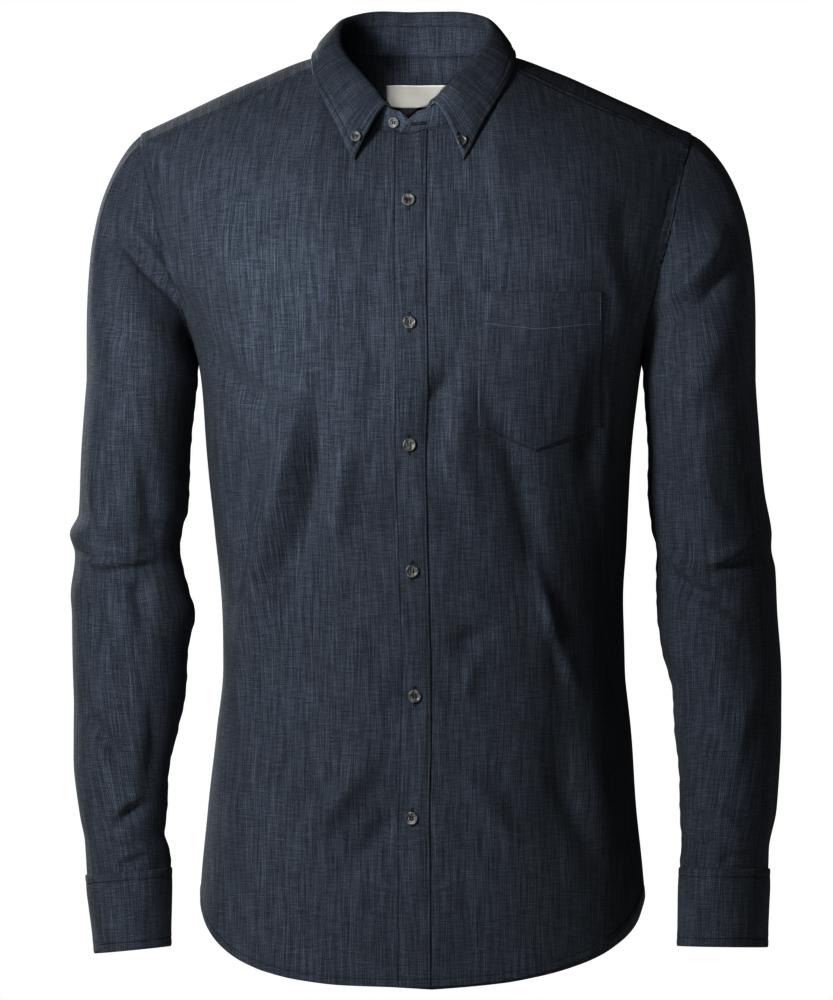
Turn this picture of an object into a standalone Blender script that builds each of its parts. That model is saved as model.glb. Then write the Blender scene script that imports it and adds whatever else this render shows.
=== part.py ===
"""A men's button-down chambray shirt, filled out as if worn, with nobody in it.

Right-handed frame in metres, +Z up, front facing -Y. The wearer's left side is at +X. The origin is
the middle of the neck opening, level with the points where the shoulders meet the neck. All sizes in
the tables are millimetres; meshes are made in metres.

Every cloth piece is an open surface worked out on a grid, given its wall by a Solidify modifier. The
body panels share one set of columns: a level section of the trunk below the chest line, and above it
a cubic that climbs to the neck, the shoulder seam or the armhole.
"""

import math

import bpy
import numpy as np
from mathutils import Matrix, Vector

MM = 0.001

# Cloth walls and the room between pieces
WALL = 1.4
TWO_PLY_WALL = 1.9
LABEL_WALL = 1.0
SEAM_GAP = 0.5
LAY_GAP = 0.3
POCKET_LAY_GAP = 0.7

# Trunk
CHEST_LINE = -262.0
SQUARENESS = 2.4
TURN = 0.06
PLACKET_REACH = 0.0495
HEM_DROP_BACK = 5.0
HEM_LIFT_LEFT = 4.5

# Front button band
FRONT_BUTTON_HEIGHTS = (-115.6, -215.7, -315.7, -419.0, -521.5, -621.6)
BUTTON_DIAMETER = 11.0
COLLAR_BUTTON_DIAMETER = 9.0
BUTTON_THICKNESS = 2.4
BUTTON_LAY_GAP = 0.6
NECK_BUTTON_AT = (-22.0, -51.5)
TIP_BUTTONS_AT = {"right": (-53.0, -63.5), "left": (33.0, -66.5)}

# Collar
LEAF_ENDS_AT = 0.955
STAND_SHARE = 0.96
STAND_BOW = 1.5
STAND_END_SHARE = 0.62
STAND_END_ROUNDING = np.array([0.0, 0.08, 0.32, 0.8])
LEAF_CLEARANCE = 0.7
LEAF_RISE = 1.6

# Sleeves and cuffs
CUFF_STEP = 0.6
CUFF_START_TURN = 0.62
CUFF_OVERLAP_TURNS = 0.09
SLEEVE_PLACKET_TURN = 0.64
SLEEVE_PLACKET_ROWS = 9

# Grid sizes: the columns of each panel along the armhole and the neck are counted from its corners
FRONT_ROWS = 27
BACK_ROWS = 23
SLEEVE_CAP_ROWS = 7
SLEEVE_LEVEL_ROWS = 24
FRONT_NECK_COLUMNS = 7
FRONT_HOLE_COLUMNS = 8
BACK_HOLE_COLUMNS = 7
YOKE_SHOULDER_COLUMNS = 8
YOKE_EVENING_PASSES = 4


def table(columns, rows):
    """A table as a dictionary of arrays, one for each named column."""
    values = np.array(rows, dtype=float)
    return {name: values[:, place] for place, name in enumerate(columns.split())}


# Level sections of the trunk, from the hem up
BODY = table("z centre half_width front back", [
    (-770, 1.2, 185.0, 131, 130),
    (-680, 1.2, 181.6, 130, 127),
    (-615, 1.0, 175.5, 128, 122),
    (-550, 2.5, 169.7, 126, 118),
    (-500, 2.6, 164.5, 126, 116),
    (-450, 1.5, 164.2, 129, 117),
    (-385, 0.0, 169.0, 134, 120),
    (-320, -1.5, 174.0, 138, 124),
    (-262, -0.5, 179.5, 140, 126),
    (-150, -3.0, 200.0, 137, 124),
    (-60, -4.5, 220.0, 110, 110),
    (40, -5.0, 220.0, 110, 110),
])

# Height of the curved hem from the centre line to the side seam
HEM = table("column z", [
    (0.00, -760), (0.20, -758), (0.32, -754), (0.42, -748), (0.52, -739),
    (0.62, -727), (0.72, -713), (0.82, -698), (0.91, -687), (1.00, -682),
])

# Upper edge of a front: neck curve, shoulder seam, then front armhole (lean is dy/dz on arrival)
FRONT_EDGE = table("column x y z lean", [
    (0.00, 0.0, -79, -62, 0.62),
    (0.10, 29.0, -77, -55, 0.66),
    (0.18, 52.0, -69, -39, 0.75),
    (0.235, 65.0, -55, -20, 0.90),
    (0.27, 71.0, -36, -1, 1.10),
    (0.43, 143.0, -36, -35, 1.30),
    (0.53, 189.0, -29, -54, 1.15),
    (0.60, 226.0, -14, -69, 0.80),
    (0.66, 220.5, -29, -92, 0.55),
    (0.72, 216.0, -40, -113, 0.35),
    (0.78, 211.0, -47, -138, 0.10),
    (0.84, 204.0, -49, -162, -0.05),
    (0.90, 194.5, -43, -190, -0.20),
    (0.95, 187.0, -27, -217, -0.30),
    (1.00, 180.5, 0, -243, 0.00),
])
FRONT_CORNERS = (0.27, 0.60)

# Upper edge of the back: yoke seam, then back armhole
BACK_EDGE = table("column x y z lean", [
    (0.00, 0.0, 111, -112, -0.22),
    (0.20, 71.0, 110, -112, -0.23),
    (0.40, 146.0, 99, -112, -0.26),
    (0.56, 207.0, 60, -112, -0.30),
    (0.66, 209.0, 62, -135, -0.10),
    (0.76, 204.5, 59, -160, 0.05),
    (0.86, 195.5, 48, -190, 0.20),
    (0.94, 187.0, 29, -217, 0.30),
    (1.00, 180.5, 0, -243, 0.00),
])
BACK_CORNERS = (0.56,)

# Yoke columns from the back centre outwards: the neck edge, and how each column arrives there
YOKE_NECK = table("column x y z", [
    (0.00, 0, 47, 4), (0.16, 33, 41, 4.5), (0.26, 56, 24, 6.5), (0.31, 65, 5, 8), (0.36, 71, -36, -1),
])
YOKE_ARRIVAL = table("column x y z", [
    (0.00, 0, 24, -38), (0.16, 4, 28, -34), (0.26, 7, 38, -21), (0.31, 6, 50, -8),
    (0.36, 3, 70, 41), (0.60, 1, 70, 50), (1.00, 2, 45, 26),
])
YOKE_NECK_CORNER = 0.36
YOKE_NECK_COLUMNS = (0.0, 0.086, 0.173, 0.236, 0.284, 0.318, 0.340, YOKE_NECK_CORNER)

# Collar, by share of the neck seam from the back centre to the centre front: roll line and leaf edge
COLLAR = table("share roll_x roll_y roll_z edge_x edge_y edge_z", [
    (0.00, 0.0, 47, 39, 0, 60, -6),
    (0.15, 34.0, 41, 39, 42, 55, -6),
    (0.27, 53.0, 24, 35, 68, 36, 0),
    (0.38, 60.5, 4, 29, 80, 10, 5),
    (0.50, 61.0, -18, 18, 84, -24, 1),
    (0.62, 55.0, -38, 5, 82, -46, -11),
    (0.74, 43.0, -54, -9, 73, -68, -30),
    (0.86, 29.0, -68, -24, 60, -86, -53),
    (0.955, 16.0, -80, -39, 45, -97, -83),
    (1.06, -2.0, -84, -44, 40, -97, -83),
])

# Level sections of each sleeve below the armhole, the wearer's right first
SLEEVE_RIGHT = table("z centre half_width middle half_depth", [
    (-262, -228.8, 45.9, -4, 73),
    (-320, -234.0, 45.1, -1, 69),
    (-370, -236.2, 45.1, 3, 65),
    (-387, -242.5, 46.2, 4, 63),
    (-402, -241.2, 43.4, 4, 61),
    (-435, -239.0, 48.8, 1, 59),
    (-453, -236.0, 50.8, -1, 58),
    (-484, -238.6, 47.6, -3, 57),
    (-517, -239.0, 46.3, -6, 55),
    (-550, -242.3, 43.0, -10, 53),
    (-582, -245.6, 39.0, -14, 51),
    (-615, -244.0, 35.9, -18, 49),
    (-636, -243.0, 33.0, -20, 47),
    (-648, -240.5, 34.4, -22, 45),
    (-662, -239.4, 34.4, -23, 44),
])
SLEEVE_LEFT = table("z centre half_width middle half_depth", [
    (-262, 228.4, 46.3, -4, 73),
    (-320, 232.5, 46.3, -1, 69),
    (-352, 234.0, 48.0, 2, 66),
    (-385, 238.6, 49.2, 4, 63),
    (-402, 240.7, 47.2, 4, 61),
    (-418, 242.0, 49.2, 3, 60),
    (-451, 243.0, 49.6, 0, 58),
    (-484, 246.4, 48.8, -3, 57),
    (-517, 251.0, 45.1, -6, 55),
    (-550, 252.0, 43.9, -10, 53),
    (-582, 253.0, 41.4, -14, 51),
    (-615, 252.0, 39.8, -18, 49),
    (-648, 249.3, 36.0, -22, 45),
    (-662, 248.5, 36.0, -23, 44),
])

# How far each sleeve starts outside the armhole, round it from the underarm up the front: more where
# it folds back sharply over the front
# How much more steeply each sleeve leaves the top of its armhole, in degrees
SLEEVE_TOP_DROP = {1: 0.0, -1: 13.0}
SLEEVE_SET_OUT = table("turn reach", [
    (0.00, 0.9), (0.05, 1.8), (0.15, 1.8), (0.25, 0.9), (1.00, 0.9),
])

# Cuffs: height, centre and half sizes at the seam and at the opening
CUFF_RIGHT = table("z centre half_width middle half_depth", [
    (-662, -239.4, 34.6, -23, 44.5), (-727, -236.0, 30.6, -28, 41.0),
])
CUFF_LEFT = table("z centre half_width middle half_depth", [
    (-662, 248.5, 36.4, -23, 44.5), (-727, 246.8, 36.4, -28, 41.0),
])
CUFF_TILT_RIGHT = 6.0
CUFF_TILT_LEFT = 1.0

# Chest pocket on the wearer's left front, in the front view
POCKET = {"left": 47.0, "right": 148.5, "top": -190.5, "side_bottom": -301.0, "point": -322.0}

# Blank label inside the yoke and the small loop tab under it, in the front view
LABEL = {"left": -28.5, "right": 31.0, "top": -18.5, "bottom": -37.0}
TAB = {"left": -10.5, "right": 2.5, "top": -40.5, "bottom": -46.0}

# Folds as seen from the front, then from behind: three points along each, its half width and height
FOLD_COLUMNS = "x0 z0 x1 z1 x2 z2 half_width height"
FRONT_FOLDS = table(FOLD_COLUMNS, [
    (-103, -275, -121, -390, -150, -525, 17, 7.5),
    (-82, -270, -88, -350, -112, -420, 13, -5.0),
    (-135, -345, -131, -400, -126, -425, 11, 3.5),
    (-62, -325, -68, -370, -76, -400, 13, 3.0),
    (20, -245, 16, -290, 8, -325, 14, -3.5),
    (60, -465, 38, -480, 20, -492, 12, -4.0),
    (92, -415, 104, -455, 116, -500, 12, 4.0),
    (-50, -580, -70, -612, -92, -640, 12, 4.0),
    (-10, -610, -36, -640, -58, -665, 12, -4.0),
    (130, -560, 146, -600, 152, -640, 14, 3.5),
    (-278, -400, -258, -411, -232, -405, 8, 5.0),
    (-262, -418, -238, -436, -220, -420, 10, -6.0),
    (194, -395, 214, -414, 236, -431, 9, 4.0),
    (205, -402, 222, -425, 234, -440, 9, -5.0),
    (264, -405, 244, -411, 230, -420, 8, 5.0),
    (-256, -138, -236, -166, -208, -200, 12, -4.0),
    (244, -135, 226, -172, 196, -205, 12, 6.0),
    (222, -180, 204, -206, 198, -235, 10, -5.0),
    (-274, -534, -256, -560, -242, -582, 9, -3.5),
    (-250, -628, -238, -618, -226, -612, 7, -3.0),
    (226, -440, 240, -446, 248, -452, 8, -3.0),
])
BACK_FOLDS = table(FOLD_COLUMNS, [
    (96, -270, 112, -380, 140, -500, 17, 6.5),
    (-88, -280, -98, -370, -128, -470, 16, 6.0),
    (60, -300, 66, -360, 84, -420, 13, -4.5),
    (-40, -420, -20, -470, 8, -510, 14, -4.0),
    (30, -560, 60, -600, 86, -640, 13, 4.0),
    (-30, -590, -60, -620, -90, -650, 13, 3.5),
    (150, -150, 130, -200, 118, -250, 13, 4.0),
    (-150, -150, -132, -200, -120, -250, 13, 4.0),
    (-276, -396, -252, -410, -228, -404, 10, 5.0),
    (276, -400, 254, -412, 232, -408, 10, 5.0),
    (-250, -150, -228, -180, -200, -214, 12, -4.0),
    (250, -150, 228, -180, 200, -214, 12, -4.0),
])


def smooth(at, keys, values):
    """A shape-keeping cubic through the rows (keys, values), level past both ends."""
    at = np.clip(at, keys[0], keys[-1])
    step = np.diff(keys)
    rise = np.diff(values) / step
    slope = np.zeros(len(keys))
    before, after = rise[:-1], rise[1:]
    same_way = before * after > 0
    slope[1:-1][same_way] = (2 * before * after / np.where(same_way, before + after, 1))[same_way]
    slope[0], slope[-1] = rise[0], rise[-1]
    row = np.clip(np.searchsorted(keys, at, side="right") - 1, 0, len(step) - 1)
    share = (at - keys[row]) / step[row]
    return (values[row] * (1 + 2 * share) * (1 - share) ** 2
            + slope[row] * step[row] * share * (1 - share) ** 2
            + values[row + 1] * share ** 2 * (3 - 2 * share)
            + slope[row + 1] * step[row] * share ** 2 * (share - 1))


def cornered(at, rows, column, corners):
    """The named column of an edge table at the given places, smooth between its corners."""
    keys, values = rows["column"], rows[column]
    limits = (keys[0],) + tuple(corners) + (keys[-1],)
    result = np.zeros(np.shape(at))
    for low, high in zip(limits[:-1], limits[1:]):
        inside = (keys >= low - 1e-9) & (keys <= high + 1e-9)
        here = (at >= low - 1e-9) & (at <= high + 1e-9)
        result = np.where(here, smooth(at, keys[inside], values[inside]), result)
    return result


def unit(vectors):
    """Vectors scaled to a length of one."""
    return vectors / np.maximum(np.linalg.norm(vectors, axis=-1, keepdims=True), 1e-9)


def grid_normals(points, flip=False):
    """Normals of a grid of points from its two families of lines."""
    along_rows = np.gradient(points, axis=0)
    along_columns = np.gradient(points, axis=1)
    normals = unit(np.cross(along_columns, along_rows))
    return -normals if flip else normals


def fold_height(x, z, folds):
    """Sum of the folds at points of a front view: a soft ridge or trough along each row's curve."""
    total = np.zeros(np.shape(x))
    shares = np.linspace(0, 1, 9)
    for row in range(len(folds["x0"])):
        path = [
            (1 - shares) ** 2 * folds[axis + "0"][row]
            + 2 * shares * (1 - shares)
            * (2 * folds[axis + "1"][row] - (folds[axis + "0"][row] + folds[axis + "2"][row]) / 2)
            + shares ** 2 * folds[axis + "2"][row]
            for axis in "xz"
        ]
        nearest = np.full(np.shape(x), 1e9)
        place = np.zeros(np.shape(x))
        for part in range(len(shares) - 1):
            run = np.array([path[0][part + 1] - path[0][part], path[1][part + 1] - path[1][part]])
            over = ((x - path[0][part]) * run[0] + (z - path[1][part]) * run[1]) / (run @ run)
            over = np.clip(over, 0, 1)
            away = np.hypot(x - path[0][part] - over * run[0], z - path[1][part] - over * run[1])
            closer = away < nearest
            nearest = np.where(closer, away, nearest)
            place = np.where(closer, (part + over) / (len(shares) - 1), place)
        taper = 0.25 + 0.75 * np.sin(np.pi * place)
        total += folds["height"][row] * taper * np.exp(-(nearest / folds["half_width"][row]) ** 2)
    return total


def folded(points, normals):
    """Points moved out along their normals by the folds of the side that they face."""
    x, z = points[..., 0], points[..., 2]
    to_front = np.clip(-normals[..., 1] * 1.4, 0, 1)
    to_back = np.clip(normals[..., 1] * 1.4, 0, 1)
    height = to_front * fold_height(x, z, FRONT_FOLDS) + to_back * fold_height(x, z, BACK_FOLDS)
    return points + normals * height[..., None]


def level_section(column, z, depth):
    """Half coordinates on a level section of the trunk; column is 0 at the centre line, 1 at the side."""
    angle = column * math.pi / 2
    across, along = np.sin(angle), np.cos(angle)
    reach = (np.abs(along) ** SQUARENESS + np.abs(across) ** SQUARENESS) ** (-1 / SQUARENESS)
    half_width = smooth(z, BODY["z"], BODY["half_width"])
    return half_width * reach * across, smooth(z, BODY["z"], BODY[depth]) * reach * along


def trunk_point(column, z, depth, rows, corners):
    """Half coordinates (x, distance from the side plane) of a column at a height."""
    mirrored = np.sign(column) + (column == 0)
    place = np.abs(column)
    below = np.minimum(z, CHEST_LINE)
    x_low, y_low = level_section(place, below, depth)
    x_under, y_under = level_section(place, below - 1.0, depth)
    edge = {name: cornered(place, rows, name, corners) for name in ("x", "y", "z", "lean")}
    out = -1.0 if depth == "front" else 1.0
    rise = np.maximum(edge["z"] - CHEST_LINE, 1.0)
    share = np.clip((z - CHEST_LINE) / rise, 0, 1)
    hermite = (
        (1 + 2 * share) * (1 - share) ** 2, share * (1 - share) ** 2,
        share ** 2 * (3 - 2 * share), share ** 2 * (share - 1),
    )
    spread = (edge["x"] - x_low) / rise
    x_high = (hermite[0] * x_low + hermite[1] * rise * (x_low - x_under)
              + hermite[2] * edge["x"] + hermite[3] * rise * spread)
    y_high = (hermite[0] * y_low + hermite[1] * rise * (y_low - y_under)
              + hermite[2] * edge["y"] * out + hermite[3] * rise * edge["lean"] * out)
    above = z > CHEST_LINE
    return mirrored * np.where(above, x_high, x_low), out * np.where(above, y_high, y_low)


def placed(x, y, z, side):
    """Points of the shirt from half coordinates: the side, the sway of the centre, and the slight turn."""
    centre = smooth(z, BODY["z"], BODY["centre"])
    return np.stack([side * x + centre + TURN * y, y, z + np.zeros(np.shape(x))], axis=-1)


def front_point(column, z, side):
    """Unfolded points of a front."""
    x, y = trunk_point(column, z, "front", FRONT_EDGE, FRONT_CORNERS)
    return placed(x, y, z, side)


def back_point(column, z, side):
    """Unfolded points of the back."""
    x, y = trunk_point(column, z, "back", BACK_EDGE, BACK_CORNERS)
    return placed(x, y, z, side)


def hem_height(column, drop=0.0, lift=0.0):
    """Height of the hem at a column; the back drops at its centre, and the left lifts before its side."""
    place = np.abs(column)
    return smooth(place, HEM["column"], HEM["z"]) - drop * (1 - place) ** 2 + lift * np.sin(np.pi * place) ** 2


def front_columns():
    """Columns of a front from past the centre line to the side seam, with its corners among them."""
    seam = SEAM_GAP / 2 / 190
    return np.concatenate([
        (-PLACKET_REACH, 0.0, PLACKET_REACH), np.linspace(0.105, 0.27, FRONT_NECK_COLUMNS - 3),
        np.linspace(0.27, 0.60, 7)[1:], np.linspace(0.60, 1 - seam, FRONT_HOLE_COLUMNS)[1:],
    ])


def front_grid(side, layer):
    """Outer points and normals of a front; layer lifts its overlapped edge over the other front."""
    columns = front_columns()
    shares = np.linspace(0, 1, FRONT_ROWS + 1)
    low = hem_height(columns, lift=HEM_LIFT_LEFT * (side > 0))
    high = cornered(np.abs(columns), FRONT_EDGE, "z", FRONT_CORNERS) - SEAM_GAP / 2
    z = low + shares[:, None] * (high - low)
    points = front_point(np.broadcast_to(columns, z.shape), z, side)
    points = folded(points, grid_normals(points, flip=side < 0))
    normals = grid_normals(points, flip=side < 0)
    fade = np.clip((0.16 - columns) / 0.09, 0, 1)
    lift = layer * fade ** 2 * (3 - 2 * fade)
    return points + normals * lift[None, :, None], normals


def back_grid():
    """Outer points of the back from the wearer's left side seam round to the right."""
    seam = SEAM_GAP / 2 / 190
    half = np.concatenate([
        np.linspace(0, 0.56, 8), np.linspace(0.56, 1 - seam, BACK_HOLE_COLUMNS)[1:],
    ])
    shares = np.linspace(0, 1, BACK_ROWS + 1)
    high = cornered(half, BACK_EDGE, "z", BACK_CORNERS) - SEAM_GAP / 2
    sides = []
    for side in (1, -1):
        low = hem_height(half, HEM_DROP_BACK, HEM_LIFT_LEFT * (side > 0))
        z = low + shares[:, None] * (high - low)
        sides.append(back_point(np.broadcast_to(half, z.shape), z, side))
    points = np.concatenate([sides[0][:, ::-1], sides[1][:, 1:]], axis=1)
    return folded(points, grid_normals(points))


def yoke_column(column, share, side):
    """Points of the yoke: a cubic from the back seam over the shoulder to the neck or front seam."""
    low_place = column * BACK_CORNERS[0]
    low = np.stack([cornered(low_place, BACK_EDGE, name, BACK_CORNERS) for name in "xyz"], axis=-1)
    lean = cornered(low_place, BACK_EDGE, "lean", BACK_CORNERS)
    start = np.stack([10 * column, 36 * lean, 36 + 0 * column], axis=-1)
    on_neck = np.minimum(column, YOKE_NECK_CORNER)
    neck = np.stack([cornered(on_neck, YOKE_NECK, name, ()) for name in "xyz"], axis=-1)
    past = np.clip((column - YOKE_NECK_CORNER) / (1 - YOKE_NECK_CORNER), 0, 1)
    seam_place = FRONT_CORNERS[0] + past * (FRONT_CORNERS[1] - FRONT_CORNERS[0])
    seam = np.stack([cornered(seam_place, FRONT_EDGE, name, FRONT_CORNERS) for name in "xyz"], axis=-1)
    high = np.where((column > YOKE_NECK_CORNER)[..., None], seam, neck)
    arrival = np.stack([cornered(column, YOKE_ARRIVAL, name, ()) for name in "xyz"], axis=-1)
    share = share[..., None]
    points = (low * (1 - share) ** 3 + 3 * (low + start) * share * (1 - share) ** 2
              + 3 * (high + arrival) * share ** 2 * (1 - share) + high * share ** 3)
    return placed(points[..., 0], points[..., 1], points[..., 2], side)


def yoke_grid():
    """Outer points of the yoke from the wearer's left shoulder across the back of the neck."""
    half = np.concatenate([YOKE_NECK_COLUMNS,
                           np.linspace(YOKE_NECK_CORNER, 1, YOKE_SHOULDER_COLUMNS + 1)[1:]])
    trim = SEAM_GAP / 140
    shares = np.linspace(trim, 1 - trim, 8)[:, None] + 0 * half
    columns = np.broadcast_to(half, shares.shape)
    left, right = yoke_column(columns, shares, 1), yoke_column(columns, shares, -1)
    points = np.concatenate([left[:, ::-1], right[:, 1:]], axis=1)
    for _ in range(YOKE_EVENING_PASSES):
        points[1:-1, 1:-1] = (points[1:-1, :-2] + 2 * points[1:-1, 1:-1] + points[1:-1, 2:]) / 4
    return points


def armhole(front, yoke, back, side):
    """Corners of the panels round an armhole, from the underarm up its front and down its back.

    The sleeve starts from these very points, so its edge follows the edges that it meets.
    """
    over = yoke[1:-1, 0 if side > 0 else -1][::-1]
    behind = back[-1, :BACK_HOLE_COLUMNS][::-1] if side > 0 else back[-1, -BACK_HOLE_COLUMNS:]
    return np.concatenate([front[-1, -FRONT_HOLE_COLUMNS:][::-1], over, behind[:-1]])


def shares_along(points):
    """Share of a closed ring's length at each of its points."""
    steps = np.linalg.norm(np.diff(points, axis=0, append=points[:1]), axis=1)
    return np.concatenate([[0], np.cumsum(steps)[:-1]]) / steps.sum()


def sleeve_ring(rows, z, turns, side, tilt=0.0):
    """Points of a level ellipse of a sleeve or cuff; turns run from the body side round the front."""
    angle = 2 * math.pi * turns
    values = {name: smooth(z, rows["z"][::-1], rows[name][::-1])
              for name in ("centre", "half_width", "middle", "half_depth")}
    x = values["centre"] - side * values["half_width"] * np.cos(angle)
    y = values["middle"] - values["half_depth"] * np.sin(angle)
    drop = -tilt * (1 - np.cos(angle)) / 2
    return np.stack([x, y, z + drop], axis=-1)


def sleeve_grid(rows, side, tilt, hole):
    """Outer points of a sleeve: a cap from the armhole to the first level ring, then the level rings."""
    turns = shares_along(hole)
    first = float(rows["z"][0])
    ring = sleeve_ring(rows, np.full(len(turns), first), turns, side)
    toward_top = (1 - np.cos(2 * np.pi * turns)) / 2
    dip = np.radians(82 - 50 * toward_top + SLEEVE_TOP_DROP[side] * toward_top ** 4)
    start = np.stack([side * np.cos(dip), 0 * dip, -np.sin(dip)], axis=-1)
    span = np.linalg.norm(ring - hole, axis=1, keepdims=True)
    edge_line = unit(np.roll(hole, -1, axis=0) - np.roll(hole, 1, axis=0))
    across_edge = unit(start - edge_line * (start * edge_line).sum(-1, keepdims=True))
    edge = hole + across_edge * np.interp(turns, SLEEVE_SET_OUT["turn"], SLEEVE_SET_OUT["reach"])[:, None]
    share = np.linspace(0, 1, SLEEVE_CAP_ROWS + 1)[:-1, None, None]
    cap = ((1 + 2 * share) * (1 - share) ** 2 * edge + share * (1 - share) ** 2 * start * span
           + share ** 2 * (3 - 2 * share) * ring
           + share ** 2 * (share - 1) * span * np.array([0, 0, -1.0]))
    heights = np.linspace(first, rows["z"][-1], SLEEVE_LEVEL_ROWS + 1)
    slant = (first - heights) / (first - heights[-1]) * tilt
    level = np.stack([sleeve_ring(rows, np.full(len(turns), z), turns, side, lean)
                      for z, lean in zip(heights, slant)])
    points = np.concatenate([cap, level])
    fade = np.clip(np.arange(len(points)) / 3, 0, 1)[:, None, None]
    return points + (folded(points, wrapped_normals(points, side)) - points) * fade


def wrapped_normals(points, side):
    """Outward normals of a grid whose columns close into rings."""
    closed = np.concatenate([points[:, -1:], points, points[:, :1]], axis=1)
    return grid_normals(closed, flip=side > 0)[:, 1:-1]


def neck_edge(left, right, yoke):
    """Corners of the panels round the neck, from the right front's edge past the back to the left's."""
    middle = yoke[-1, YOKE_SHOULDER_COLUMNS:-YOKE_SHOULDER_COLUMNS][::-1]
    return np.concatenate([right[-1, :FRONT_NECK_COLUMNS], middle[1:-1], left[-1, :FRONT_NECK_COLUMNS][::-1]])


def collar_line(shares, side, line):
    """Points of the collar's roll line or leaf edge."""
    x, y, z = (smooth(shares, COLLAR["share"], COLLAR[f"{line}_{axis}"]) for axis in "xyz")
    return placed(x, y, z, side)


def both_sides(line, shares):
    """A collar line at signed shares: below 0 on the wearer's right, above 0 on the left."""
    right, left = collar_line(np.abs(shares), -1, line), collar_line(np.abs(shares), 1, line)
    return np.where((shares < 0)[:, None], right, left)


def signed_shares(edge):
    """Share of the half neck seam at each point of the neck edge, 0 at the back centre."""
    lengths = np.concatenate([[0], np.cumsum(np.linalg.norm(np.diff(edge, axis=0), axis=1))])
    middle = len(edge) // 2
    right, left = lengths[middle] - lengths[1], lengths[-2] - lengths[middle]
    return np.where(lengths < lengths[middle], (lengths - lengths[middle]) / right,
                    (lengths - lengths[middle]) / left)


def lap_lift(shares):
    """How far the collar's wearer's-left end is carried outwards, to pass over the right end."""
    reach = np.clip((shares - 0.88) / 0.08, 0, 1) * (TWO_PLY_WALL + LAY_GAP)
    return reach[:, None] * unit(np.array([0, -1, 0.25]))


def stand_grid(edge):
    """Outer points of the collar stand, its rounded ends overlapping at the centre front."""
    edge = edge.copy()
    for end, inner in ((0, 1), (-1, -2)):
        edge[end] = edge[inner] + (edge[end] - edge[inner]) * STAND_END_SHARE
    shares = signed_shares(edge)
    top = both_sides("roll", shares)
    reach = np.array([0.0, 0.35, 0.7, 1.0])[:, None, None]
    base = edge + np.array([0, 0, SEAM_GAP])
    points = base + (top - base) * STAND_SHARE * reach
    outward = unit(np.stack([edge[:, 0], edge[:, 1], 0 * edge[:, 0]], axis=-1))
    points = points + outward * np.sin(np.pi * reach) * STAND_BOW
    for end, inner in ((0, 1), (-1, -2)):
        points[:, end] += (points[:, inner] - points[:, end]) * STAND_END_ROUNDING[:, None]
    return points + lap_lift(shares)


def push_clear(points, below, below_normals, clearance):
    """Points moved out so that each stands at least the clearance over the surface beneath it."""
    flat, normals = below.reshape(-1, 3), below_normals.reshape(-1, 3)
    away = points[..., None, :] - flat
    nearest = np.argmin((away ** 2).sum(-1), axis=-1)
    reach = ((points - flat[nearest]) * normals[nearest]).sum(-1)
    short = np.clip(clearance - reach, 0, None)
    return points + normals[nearest] * short[..., None]


def body_samples():
    """Dense outer points and normals of both fronts and the yoke, for what lies on them."""
    columns = np.linspace(-PLACKET_REACH, 0.62, 60)
    shares = np.linspace(0.62, 1, 60)[:, None]
    high = cornered(np.abs(columns), FRONT_EDGE, "z", FRONT_CORNERS)
    low = hem_height(columns)
    z = low + shares * (high - low)
    lift = np.where(columns < 0.1, 2 * (WALL + LAY_GAP), 0.0)[None, :, None]
    all_points, all_normals = [], []
    for side in (1, -1):
        points = front_point(np.broadcast_to(columns, z.shape), z, side)
        normals = grid_normals(points, flip=side < 0)
        points = folded(points, normals)
        all_points.append((points + normals * lift).reshape(-1, 3))
        all_normals.append(normals.reshape(-1, 3))
        places = np.linspace(0, 1, 60) + np.zeros((40, 1))
        over = yoke_column(places, np.linspace(0, 1, 40)[:, None] + 0 * places, side)
        all_points.append(over.reshape(-1, 3))
        all_normals.append(grid_normals(over, flip=side > 0).reshape(-1, 3))
    return np.concatenate(all_points), np.concatenate(all_normals)


def leaf_grid():
    """Outer points of the collar leaf: over the roll line, then down to lie on the fronts and yoke."""
    shares = np.concatenate([np.linspace(0, 0.8, 11), np.linspace(0.8, LEAF_ENDS_AT, 5)[1:]])
    signed = np.concatenate([-shares[::-1], shares[1:]])
    roll, edge = both_sides("roll", signed) + lap_lift(signed), both_sides("edge", signed)
    line = unit(np.gradient(roll, axis=0))
    outward = unit(np.stack([roll[:, 0] + 5, roll[:, 1] - 5, 0 * roll[:, 0]], axis=-1))
    outward = unit(outward - line * (outward * line).sum(-1, keepdims=True))
    up = unit(np.array([0, 0, 1.0]) - line * line[:, 2:])
    lift = TWO_PLY_WALL + LAY_GAP
    start = roll + up * LEAF_RISE
    first = start + outward * (lift + 2.5) + up * 3.0
    second = edge * 0.55 + roll * 0.45 + outward * (lift + 7.0)
    share = np.linspace(0, 1, 8)[:, None, None]
    points = (start * (1 - share) ** 3 + 3 * first * share * (1 - share) ** 2
              + 3 * second * share ** 2 * (1 - share) + edge * share ** 3)
    below, below_normals = body_samples()
    cleared = push_clear(points, below, below_normals, TWO_PLY_WALL + LEAF_CLEARANCE)
    return np.where(share > 0.25, cleared, points)


def cuff_grid(rows, side, tilt):
    """Outer points of a cuff: a band wound once round and a little over itself at the back."""
    turns = np.linspace(CUFF_START_TURN, CUFF_START_TURN + 1 + CUFF_OVERLAP_TURNS, 25)
    wound = np.clip((turns - CUFF_START_TURN - 0.80) / 0.17, 0, 1)
    lift = CUFF_STEP + (TWO_PLY_WALL + LAY_GAP + 0.4) * wound ** 2 * (3 - 2 * wound)
    heights = np.linspace(rows["z"][0] - SEAM_GAP, rows["z"][-1], 4)
    points = np.stack([sleeve_ring(rows, np.full(len(turns), z), turns, side, tilt) for z in heights])
    normals = grid_normals(points, flip=side > 0)
    return points + normals * lift[None, :, None]


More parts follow.
